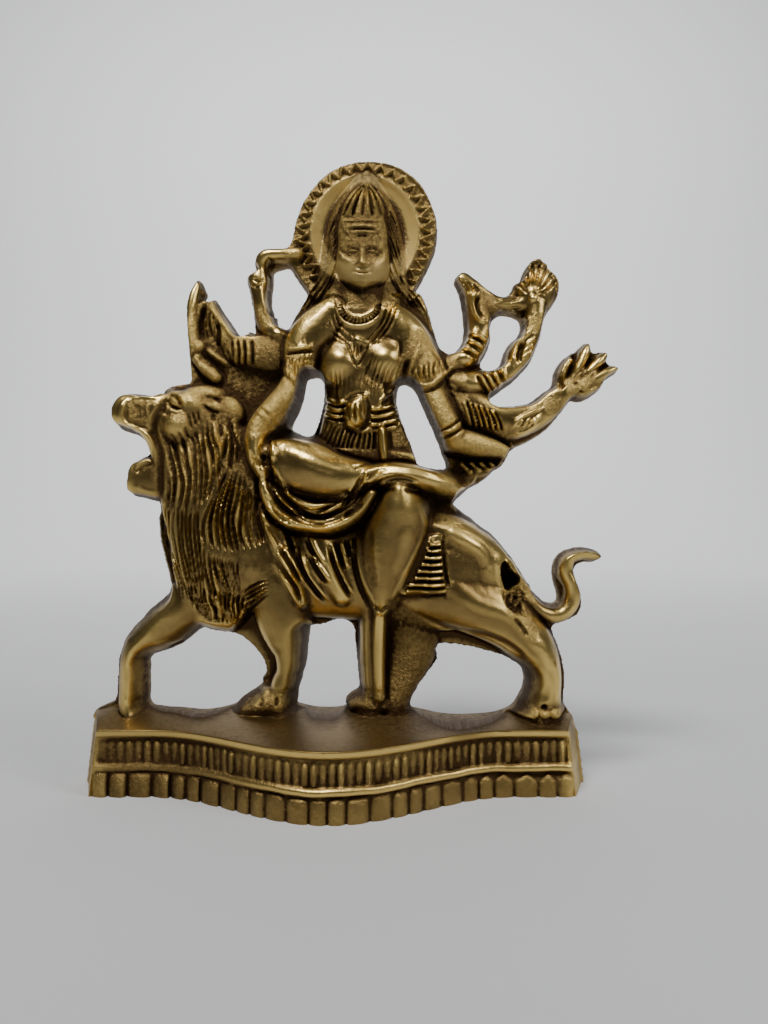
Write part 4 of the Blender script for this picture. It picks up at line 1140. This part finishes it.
def front_arms(r):
    """The two arms in front, with their sleeves."""
    # On the left, down to the hand that holds the lap cloth
    r.limb([[-0.6, 96.4, 3.4, 10.4], [-4.2, 92.2, 4.6, 11.6], [-6.8, 88.4, 4.6, 12.2],
            [-7.6, 84, 3.9, 12.8], [-8.4, 80, 3.6, 13.2], [-10.6, 76.4, 3.5, 14.2],
            [-13.8, 72.8, 3.4, 15.4], [-16.6, 69, 3.3, 16.2], [-17.6, 65, 3, 16.6],
            [-17.2, 61.6, 2.6, 16.6], [-16, 58.8, 2.2, 16]], foot=8.2, power=0.55, blend=1.2,
           trench=0.4)
    r.crease([[-11, 103], [-8.2, 103.5], [-4.6, 104]], 0.55, 0.6, 10, ends=0.1)
    r.crease([[-11, 102.1], [-8.2, 102.6], [-4.6, 103]], 0.55, -0.8, 10, ends=0.1)
    cuff = [[[-11.8, 101], [-12, 99], [-11.6, 96.8]], [[-8.4, 101.6], [-8.8, 99.4], [-9, 96.4]],
            [[-4.8, 102], [-5.2, 99.4], [-6, 96]]]
    strands(r, cuff, 4, 10, 0.45, 0.3, 0.4, 29, 0.1, ends=0.12)
    r.crease([[-12.8, 99.6], [-10.4, 97.8], [-8.6, 95.8], [-6.8, 93.4]], 0.6, 0.6, 10, ends=0.15)
    r.crease([[-12.8, 98.2], [-10.6, 96.4], [-9, 94.4], [-7.6, 92.6]], 0.5, -0.5, 10, ends=0.15)
    for x, z in ((-15.6, 86.4), (-14.3, 87.6)):
        r.crease([[x - 2, z + 2.4], [x + 0.6, z + 0.2], [x + 2.6, z - 2.6]], 0.55, 0.5, 12,
                 ends=0.1)
    r.crease([[-14, 82.5], [-13.6, 79.8], [-13.9, 77]], 0.9, 1.0, 12)
    r.creases([[[-17.4, 78.4], [-16.8, 75.4]], [[-15.9, 78.6], [-15.6, 75.4]],
               [[-18.8, 79], [-18.2, 76.2]]], 0.5, -0.8, 12)
    # On the right, down to the hand that lies on the lap
    r.limb([[21, 82.4, 4, 10.6], [22.8, 78.2, 3.8, 11.4], [24.8, 73.6, 3.7, 11.8],
            [27, 69.4, 3.5, 11.4], [28.8, 66.4, 3, 10.6]], foot=5.6, trench=0.6)
    r.crease([[18.4, 97], [20.4, 95], [23, 95.2], [26, 97.6], [28.4, 99.6]], 0.6, 0.7, 9, ends=0.15)
    r.crease([[18.4, 95.9], [20.6, 93.9], [23.4, 94.1], [26.4, 96.6], [28.8, 98.6]], 0.5, -0.7, 9,
             ends=0.15)
    fringe = [[[19.4, 96.4], [18.9, 97.6], [18.6, 99]], [[22.6, 95.8], [22.4, 98], [22.6, 100.6]],
              [[26.6, 98.6], [26, 100], [26, 101.6]]]
    strands(r, fringe, 3, 9, 0.5, 0.35, 0.45, 30, 0.15, ends=0.2)
    r.rough([[18, 101.6], [26, 102], [27, 97.6], [22.6, 95.6], [18.6, 97]], 0.8, 9, 11)
    for x, z in ((27.4, 84.4), (28.5, 82.9)):
        r.crease([[x - 3.6, z - 1.6], [x, z], [x + 2.8, z + 1.9]], 0.7, 0.9, 9, ends=0.1)
        r.crease([[x - 3.9, z - 0.8], [x - 0.3, z + 0.8], [x + 2.5, z + 2.7]], 0.45, -0.7, 9,
                 ends=0.1)
    r.limb([[28.6, 66.6, 3.2, 10.2], [32.4, 65.8, 3.1, 10], [36.6, 64.8, 2.6, 9.4],
            [40.2, 63.8, 1.8, 8.2], [42.2, 63.2, 1, 7]], foot=5, trench=0.7)
    r.crease([[29.6, 78.4], [33, 77.9], [37, 78.2], [41.6, 78.4]], 0.7, -1.2, 6)
    for k in range(5):
        x = 31.4 + 2.3 * k
        r.crease([[x - 1.5, 77.4 + 0.1 * k], [x - 0.2, 75.8], [x + 1.6, 74.6 + 0.5 * k]], 0.8, 1.1,
                 6, ends=0.12)
        r.crease([[x - 0.4, 77.6 + 0.1 * k], [x + 0.9, 76.2], [x + 2.6, 75.2 + 0.5 * k]], 0.45,
                 -0.8, 6, ends=0.12)
    r.rough([[34, 76.4], [40, 77.4], [42, 79.6], [38, 75]], 0.5, 5, 6)


def spread_rows(stops):
    """Places along one side of the grid: runs between stops, each with a step of its own."""
    runs = []
    for (low, step), (high, _) in zip(stops, stops[1:]):
        runs.append(np.linspace(low, high, max(1, round((high - low) / step)), endpoint=False))
    return np.concatenate(runs + [[stops[-1][0]]])


def soften(values, mask, step, reach):
    """Blurs a grid of even steps, counting only the places in the mask."""
    count = max(1, int(reach * 3 / step))
    t = np.arange(-count, count + 1) * step
    kernel = np.exp(-(t / reach) ** 2 / 2)
    kernel /= kernel.sum()

    def both(a):
        for axis in (0, 1):
            pad = [(count, count) if k == axis else (0, 0) for k in (0, 1)]
            wide = np.pad(a, pad)
            total = np.zeros_like(a)
            for k, weight in enumerate(kernel):
                cut = [slice(None), slice(None)]
                cut[axis] = slice(k, k + a.shape[axis])
                total += weight * wide[tuple(cut)]
            a = total
        return a

    return both(values * mask) / np.maximum(both(mask.astype(float)), 1e-4)


def even_grid(r, values, step):
    """The same values on a grid of even steps."""
    x = np.arange(r.across[0], r.across[-1], step)
    z = np.arange(r.up[0], r.up[-1], step)
    rows = np.array([np.interp(x, r.across, row) for row in values])
    return x, z, np.array([np.interp(z, r.up, column) for column in rows.T]).T


def waves(x, z, size, seed, octaves=3):
    """A smooth random field made of crossed waves."""
    rng = np.random.default_rng(seed)
    total = np.zeros_like(x)
    for octave in range(octaves):
        reach = size / 2 ** octave
        for _ in range(10):
            angle, shift = rng.uniform(0, 2 * np.pi, 2)
            k = 2 * np.pi / (reach * rng.uniform(0.75, 1.35))
            along = k * (x * np.cos(angle) + z * np.sin(angle)) + shift
            total += np.sin(along) / (4.5 * 1.6 ** octave)
    return total


STEP = 0.26
LEDGE_STEP = 0.09
MARK_STEP = 0.3
TRIANGLES = 190000


def plinth_patina(r):
    """Marks the plinth's bands, which are darker and rougher, the most toward the left."""
    leftward = unit((-5 - r.x) / 35)
    worn = 0.5 + 0.5 * waves(r.x, r.z, 7, 11, 1)
    reeded, petalled, banded, lipped = (
        hump(r.z - middle, half, 8) * r.plinth_part
        for middle, half in ((10.6, 3.1), (2.4, 3.3), (6.8, 1.2), (14.4, 1.1)))
    r.grain = np.maximum(r.grain, 0.5 * reeded + (0.3 + 0.3 * leftward) * petalled
                         + 0.5 * leftward * banded)
    r.dark = np.maximum(r.dark, (0.25 + 0.35 * leftward + 0.35 * worn) * reeded
                        + (0.2 + 0.35 * leftward + 0.4 * worn) * petalled
                        + (0.12 + 0.5 * leftward) * (banded + lipped))


def cast_relief():
    """The whole relief. The grid is finer at the ledge and round the head."""
    across = spread_rows([(-61.6, STEP), (0, STEP * 0.8), (14, STEP), (70.4, STEP)])
    up = spread_rows([(0, STEP), (14.4, LEDGE_STEP), (19, STEP), (116, STEP * 0.8), (134, STEP),
                      (151.6, STEP)])
    r = Relief(across, up)
    ragged = (0.05 * waves(r.x, r.z, 4.5, 5, 1) + 0.05 * waves(r.x, r.z, 1.8, 6, 1)) * (r.z > 20)
    r.inside = metal_inside(r.x, r.z) + ragged
    foot_edge = PLINTH_BACK - 0.3 - PLINTH_DRAFT * r.z - np.abs(r.x)
    r.inside = np.where(r.z < LIP, np.minimum(r.inside, foot_edge), r.inside)
    r.out[:] = 2.8  # the bare ground of the casting
    for forms in (halo, left_arms, right_arms, hair, lion, torso, face, lap, front_arms):
        forms(r)
    r.out += 0.05 * waves(r.x, r.z, 9, 3) + 0.075 * r.grain * waves(r.x, r.z, 1.1, 4, 2)
    low = 1 / (1 + np.exp((r.z - 43) / 1.5))
    inside = np.maximum(r.inside, 0)
    foot = 4.6 + 0.05 * np.clip(r.x + 40, 0, 30)  # the walls are rounder toward the foot
    wall = 0.25 + (1 - low) * wall_slope(r) * inside + low * foot * np.sqrt(inside)
    uncut = r.out
    r.out = smooth_min(r.out, wall, 1.2)
    r.side = unit((uncut - r.out - 0.8) / 1.5) * (1 - low)  # where the side walls show
    base = plinth(r)
    r.plinth_part = base > r.out
    plinth_patina(r)
    r.out = smooth_max(r.out, base, 0.9)
    r.out = np.maximum(r.out, 0.2)
    return r


def wall_slope(r):
    """The side walls are steep round the figure and lean more beside the mane."""
    mane_side = 1 / (1 + np.exp((r.x + 36) / 1.0)) / (1 + np.exp((r.z - 67) / 1.0))
    waist = hump(r.x - 6, 22, 6) * hump(r.z - 87, 13, 6)
    return 6.5 - 3.3 * mane_side + 9 * waist


def skin_of(r):
    """Corners and faces of the front sheet and of the flat back behind it. Corners close to the
    outline are drawn onto it."""
    inside = r.inside.copy()
    inside[0] = np.where(np.abs(r.x[0]) < PLINTH_BACK, np.maximum(inside[0], 0.5), inside[0])
    gx = np.gradient(inside, r.across, axis=1)
    gz = np.gradient(inside, r.up, axis=0)
    size = np.hypot(gx, gz) + 1e-6
    reach = STEP * 0.62
    near = (np.abs(inside) < reach) & (r.z > 0.01)
    x = r.x - np.where(near, inside * gx / size ** 2, 0)
    z = r.z - np.where(near, inside * gz / size ** 2, 0)
    z = np.maximum(z, 0)
    kept = (inside >= 0) | near
    index = np.full(kept.shape, -1)
    index[kept] = np.arange(kept.sum())
    a, b, c, d = index[:-1, :-1], index[:-1, 1:], index[1:, 1:], index[1:, :-1]
    whole = (a >= 0) & (b >= 0) & (c >= 0) & (d >= 0)
    faces = [tuple(q) for q in np.column_stack([a[whole], b[whole], c[whole], d[whole]]).tolist()]
    for miss, corners in ((a, (b, c, d)), (b, (a, c, d)), (c, (a, b, d)), (d, (a, b, c))):
        three = (miss < 0) & np.all([k >= 0 for k in corners], axis=0)
        faces += [tuple(q) for q in np.column_stack([k[three] for k in corners]).tolist()]
    corners = np.column_stack([x[kept], BACK - r.out[kept], z[kept]]) / MM
    behind = corners.copy()
    behind[:, 1] = BACK / MM
    count = len(corners)
    faces += [tuple(k + count for k in reversed(q)) for q in faces]
    return np.vstack([corners, behind]), faces


def placed(name, data):
    """A new object in the scene."""
    made = bpy.data.objects.new(name, data)
    bpy.context.scene.collection.objects.link(made)
    return made


def casting(r):
    """The casting as one closed mesh, thinned where it is plain."""
    corners, faces = skin_of(r)
    mesh = bpy.data.meshes.new("cast_relief")
    mesh.from_pydata(corners.tolist(), [], faces)
    piece = placed("cast_relief", mesh)
    bpy.ops.object.select_all(action="DESELECT")
    piece.select_set(True)
    bpy.context.view_layer.objects.active = piece
    bpy.ops.object.mode_set(mode="EDIT")
    bpy.ops.mesh.select_all(action="SELECT")
    bpy.ops.mesh.delete_loose(use_verts=True, use_edges=True)
    # The rim of the front sheet is drawn straight to the rim of the flat back, and joined to it
    bpy.ops.mesh.select_mode(type="EDGE")
    bpy.ops.mesh.select_all(action="DESELECT")
    bpy.ops.object.mode_set(mode="OBJECT")
    shape = bmesh.new()
    shape.from_mesh(mesh)
    for e in shape.edges:
        middle = (e.verts[0].co.y + e.verts[1].co.y) / 2
        e.select_set(len(e.link_faces) == 1 and middle < (BACK - 0.01) / MM)
    shape.to_mesh(mesh)
    shape.free()
    bpy.ops.object.mode_set(mode="EDIT")
    bpy.ops.mesh.extrude_edges_move()
    bpy.ops.transform.resize(value=(1, 0, 1), center_override=(0, BACK / MM, 0))
    bpy.ops.mesh.select_all(action="SELECT")
    bpy.ops.mesh.remove_doubles(threshold=1e-6)
    bpy.ops.mesh.select_all(action="SELECT")
    bpy.ops.mesh.quads_convert_to_tris()
    bpy.ops.mesh.normals_make_consistent(inside=False)
    bpy.ops.object.mode_set(mode="OBJECT")
    thin = piece.modifiers.new("Thin", "DECIMATE")
    thin.ratio = min(1, TRIANGLES / len(mesh.polygons))
    bpy.ops.object.modifier_apply(modifier=thin.name)
    bpy.ops.object.shade_smooth_by_angle(angle=math.radians(50))
    return piece


def note(piece, name, values):
    """Leaves a value on every corner of a piece."""
    layer = piece.data.attributes.new(name, "FLOAT", "POINT")
    layer.data.foreach_set("value", np.ascontiguousarray(values, dtype=np.float32))


def finish_marks(piece, r):
    """Leaves on every corner how deep it lies, how rough and how dark it is, whether it is in the
    clean dish of the halo, and whether it is at the rim."""
    count = len(piece.data.vertices)
    at = np.empty(count * 3, np.float32)
    piece.data.vertices.foreach_get("co", at)
    at = at.reshape(-1, 3) * MM
    x, z, out = even_grid(r, r.out, MARK_STEP)
    inside, grain, dark, clean, side, plinth_part = (
        even_grid(r, values * 1.0, MARK_STEP)[2]
        for values in (r.inside, r.grain, r.dark, r.clean, r.side, r.plinth_part))
    mask = inside > 0
    fine = soften(out, mask, MARK_STEP, 0.8) - out
    broad = soften(out, mask, MARK_STEP, 2.6) - out

    def sample(values):
        u = np.clip((at[:, 0] - x[0]) / MARK_STEP, 0, len(x) - 1.001)
        v = np.clip((at[:, 2] - z[0]) / MARK_STEP, 0, len(z) - 1.001)
        j, i = u.astype(int), v.astype(int)
        fu, fv = u - j, v - i
        return ((values[i, j] * (1 - fu) + values[i, j + 1] * fu) * (1 - fv)
                + (values[i + 1, j] * (1 - fu) + values[i + 1, j + 1] * fu) * fv)

    front = at[:, 1] < BACK - 0.4
    inner = unit(sample(inside) / 2.6)
    ledge = ((at[:, 2] > 15.2) & (at[:, 2] < 19.5) & (sample(out) < 30)
             & (sample(plinth_part) > 0.3))
    clean = unit(sample(clean))
    deep = (0.8 * sample(fine) + 0.16 * sample(broad)) * inner * (1 - 0.9 * clean)
    deep = deep * np.where(ledge, 0.0, 1.0) - 0.45 * clean
    ends = unit((np.abs(at[:, 0]) - 55.4) / 1.5) * (at[:, 2] < 17.5)
    deep = deep * (1 - ends) - 0.2 * ends
    note(piece, "hollow", np.where(front, unit(0.5 + deep), 0.5))
    note(piece, "grain", np.where(front, unit(sample(grain)), 0.55))
    note(piece, "clean", np.where(front, clean, 0))
    note(piece, "shade", np.where(front, unit(sample(dark) + 1.0 * ledge), 0.3))
    edge = np.maximum(unit(1 - sample(inside) / 0.9), sample(side))
    note(piece, "rim", np.where(front, edge * (1 - ends), 0.6))


def node(tree, kind, place, **settings):
    """A new node, with its sockets and its own settings set by name."""
    n = tree.nodes.new(kind)
    n.location = place
    for key, value in settings.items():
        if key in n.inputs:
            n.inputs[key].default_value = value
        else:
            setattr(n, key, value)
    return n


def brass():
    """Cast brass: rubbed bright on the crests, with a dark patina in the hollows and on grounds
    that were left rough."""
    m = bpy.data.materials.new("polished_cast_brass")
    m.use_nodes = True
    t = m.node_tree
    t.nodes.clear()
    link = t.links.new
    place = node(t, "ShaderNodeTexCoord", (-1800, 0))
    hollow, grain, shade, rim, clean = (
        node(t, "ShaderNodeAttribute", (-1800, 400 + 200 * k), attribute_name=name).outputs["Fac"]
        for k, name in enumerate(("hollow", "grain", "shade", "rim", "clean")))
    broad = node(t, "ShaderNodeTexNoise", (-1500, 0), Scale=70.0, Detail=4.0, Roughness=0.6)
    specks = node(t, "ShaderNodeTexNoise", (-1500, -300), Scale=900.0, Detail=3.0, Roughness=0.65)
    coarse = node(t, "ShaderNodeTexNoise", (-1500, -600), Scale=1500.0, Detail=3.0, Roughness=0.7)
    rubbed = node(t, "ShaderNodeTexNoise", (-1500, -900), Scale=1400.0, Detail=2.0)
    stretch = node(t, "ShaderNodeMapping", (-1650, -900), Scale=(0.12, 0.5, 1.0))
    link(place.outputs["Object"], stretch.inputs["Vector"])
    link(stretch.outputs["Vector"], rubbed.inputs["Vector"])
    for n in (broad, specks, coarse):
        link(place.outputs["Object"], n.inputs["Vector"])

    def maths(kind, a, b, place, clamp=False):
        n = node(t, "ShaderNodeMath", place, operation=kind, use_clamp=clamp)
        for k, v in enumerate((a, b)):
            if isinstance(v, (int, float)):
                n.inputs[k].default_value = v
            else:
                link(v, n.inputs[k])
        return n.outputs[0]

    def ramp(value, low, high, place):
        n = node(t, "ShaderNodeMapRange", place, interpolation_type="SMOOTHSTEP",
                 **{"From Min": low, "From Max": high})
        link(value, n.inputs["Value"])
        return n.outputs["Result"]

    def mixed(share, one, two, place):
        """Two colours or sockets mixed by a share."""
        n = node(t, "ShaderNodeMixRGB", place, blend_type="MIX")
        for socket, colour in zip((n.inputs["Color1"], n.inputs["Color2"]), (one, two)):
            if isinstance(colour, tuple):
                socket.default_value = (*colour, 1)
            else:
                link(colour, socket)
        link(share, n.inputs["Fac"])
        return n.outputs["Color"]

    # How much patina lies on the metal: by depth, unevenly, and where grain, shade and rim ask
    wobble = maths("SUBTRACT", broad.outputs["Fac"], 0.5, (-1300, 0))
    wobble = maths("MULTIPLY", wobble, 0.35, (-1200, 0))
    speck = maths("SUBTRACT", specks.outputs["Fac"], 0.5, (-1300, -300))
    speck = maths("MULTIPLY", speck, 0.35, (-1200, -300))
    depth = maths("ADD", hollow, wobble, (-1000, 300))
    depth = maths("ADD", depth, speck, (-900, 300))
    patina = ramp(depth, 0.44, 0.90, (-700, 300))
    grit = maths("MULTIPLY", grain, 0.3, (-700, 600))
    soot = maths("MULTIPLY", shade, 0.5, (-700, 800))
    edge = maths("MULTIPLY", rim, 0.55, (-700, 1000))
    amount = maths("ADD", patina, grit, (-500, 300))
    flecks = maths("MULTIPLY", maths("MULTIPLY", speck, 3.6, (-700, 450)), grain, (-600, 450))
    amount = maths("ADD", amount, flecks, (-450, 450))
    amount = maths("ADD", amount, soot, (-400, 300))
    amount = maths("ADD", amount, edge, (-300, 300), clamp=True)
    # The metal, brighter where it is rubbed, under that patina
    metal = mixed(broad.outputs["Fac"], (0.275, 0.182, 0.060), (0.41, 0.282, 0.098), (-300, 0))
    polish = ramp(hollow, 0.42, 0.08, (-500, -150))
    bright = mixed(polish, metal, (0.78, 0.56, 0.18), (-200, 0))
    colour = mixed(amount, bright, (0.080, 0.045, 0.018), (-100, 100))
    rough = maths("ADD", maths("MULTIPLY", amount, 0.24, (-300, -200)), 0.30, (-200, -200))
    rough = maths("ADD", rough, maths("MULTIPLY", grain, 0.12, (-300, -350)), (-100, -200))
    rough = maths("ADD", rough, maths("MULTIPLY", wobble, 0.25, (-300, -450)), (0, -200))
    # The grain of the mould and the fine marks of rubbing
    grit_height = maths("MULTIPLY", grain, 1.5, (-900, -600))
    grit_height = maths("ADD", grit_height, 0.2, (-800, -600))
    grit_height = maths("MULTIPLY", coarse.outputs["Fac"], grit_height, (-700, -600))
    rub_height = maths("MULTIPLY", rubbed.outputs["Fac"], 0.07, (-700, -800))
    height = maths("ADD", grit_height, rub_height, (-500, -700))
    bump = node(t, "ShaderNodeBump", (-200, -700), Strength=0.8, Distance=0.00042)
    link(height, bump.inputs["Height"])
    shader = node(t, "ShaderNodeBsdfPrincipled", (200, 0))
    matt = maths("MULTIPLY", clean, 0.75, (-100, 300))
    link(maths("SUBTRACT", 1.0, matt, (0, 300)), shader.inputs["Metallic"])
    link(colour, shader.inputs["Base Color"])
    link(rough, shader.inputs["Roughness"])
    link(bump.outputs["Normal"], shader.inputs["Normal"])
    out = node(t, "ShaderNodeOutputMaterial", (500, 0))
    link(shader.outputs["BSDF"], out.inputs["Surface"])
    return m


def pale_sweep():
    """A pale floor that curves up into a wall far behind."""
    bpy.ops.mesh.primitive_grid_add(x_subdivisions=2, y_subdivisions=60, size=2, location=(0, 0, 0))
    floor = bpy.context.active_object
    floor.name = "pale_sweep"
    near, flat, bend, length, half_width = -2.1, 2.9, 0.8, 5.2, 3.5
    for v in floor.data.vertices:
        v.co.x *= half_width
        run = (v.co.y + 1) / 2 * length
        if run < flat:
            v.co.y, v.co.z = near + run, 0
        elif run < flat + bend * math.pi / 2:
            a = (run - flat) / bend
            v.co.y, v.co.z = near + flat + bend * math.sin(a), bend * (1 - math.cos(a))
        else:
            v.co.y, v.co.z = near + flat + bend, bend + run - flat - bend * math.pi / 2
    for f in floor.data.polygons:
        f.use_smooth = True
    floor.data.materials.append(pale_paper())


def pale_paper():
    """Pale paper, darker toward the camera, where the polished front mirrors it."""
    m = bpy.data.materials.new("pale_paper")
    m.use_nodes = True
    tree = m.node_tree
    shader = tree.nodes["Principled BSDF"]
    place = node(tree, "ShaderNodeTexCoord", (-900, 0))
    apart = node(tree, "ShaderNodeSeparateXYZ", (-700, 0))
    fade = node(tree, "ShaderNodeMapRange", (-500, 0), interpolation_type="SMOOTHSTEP",
                **{"From Min": -0.30, "From Max": -0.04})
    paper = node(tree, "ShaderNodeMixRGB", (-300, 0), blend_type="MIX",
                 Color1=(0.26, 0.26, 0.265, 1), Color2=(0.58, 0.585, 0.59, 1))
    tree.links.new(place.outputs["Object"], apart.inputs[0])
    tree.links.new(apart.outputs["Y"], fade.inputs["Value"])
    tree.links.new(fade.outputs["Result"], paper.inputs["Fac"])
    tree.links.new(paper.outputs["Color"], shader.inputs["Base Color"])
    shader.inputs["Roughness"].default_value = 0.85
    return m


def lamp(name, place, target, size, power):
    """A soft oblong lamp that faces its target."""
    data = bpy.data.lights.new(name, "AREA")
    data.shape = "RECTANGLE"
    data.size, data.size_y = size
    data.energy = power
    light = placed(name, data)
    light.location = place
    light.rotation_euler = (Vector(target) - Vector(place)).to_track_quat("-Z", "Y").to_euler()


def studio():
    """A soft window above the camera, a second to the right, a wash on the wall behind, and a dim
    room."""
    lamp("window_above", (-0.14, -0.30, 0.72), (0, 0, 0.07), (0.24, 0.15), 5)
    lamp("window_right", (0.5, -0.22, 0.45), (0, 0, 0.07), (0.24, 0.3), 1.6)
    lamp("wash_behind", (0, 0.45, 1.1), (0, 1.6, 0.6), (2.2, 0.5), 42)
    world = bpy.data.worlds.new("soft_room")
    world.use_nodes = True
    room = world.node_tree.nodes["Background"]
    room.inputs["Color"].default_value = (0.80, 0.82, 0.84, 1)
    room.inputs["Strength"].default_value = 0.07
    bpy.context.scene.world = world


def camera():
    """The photograph's view: square on, with the eye where the relief's points are carried to."""
    sensor, focal_pixels, picture_height = 36, 769, 1024
    data = bpy.data.cameras.new("photo_view")
    data.sensor_fit = "VERTICAL"
    data.sensor_height = sensor
    data.lens = sensor * focal_pixels / picture_height
    data.clip_start = 0.01
    eye = placed("photo_view", data)
    eye.location = (EYE[0] / MM, (BACK - REACH) / MM, EYE[1] / MM)
    eye.rotation_euler = (math.pi / 2, 0, 0)
    bpy.context.scene.camera = eye


camera()
relief = cast_relief()
figure = casting(relief)
finish_marks(figure, relief)
figure.data.materials.append(brass())
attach(figure, "root")
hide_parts("goddess_on_lion")
pale_sweep()
studio()
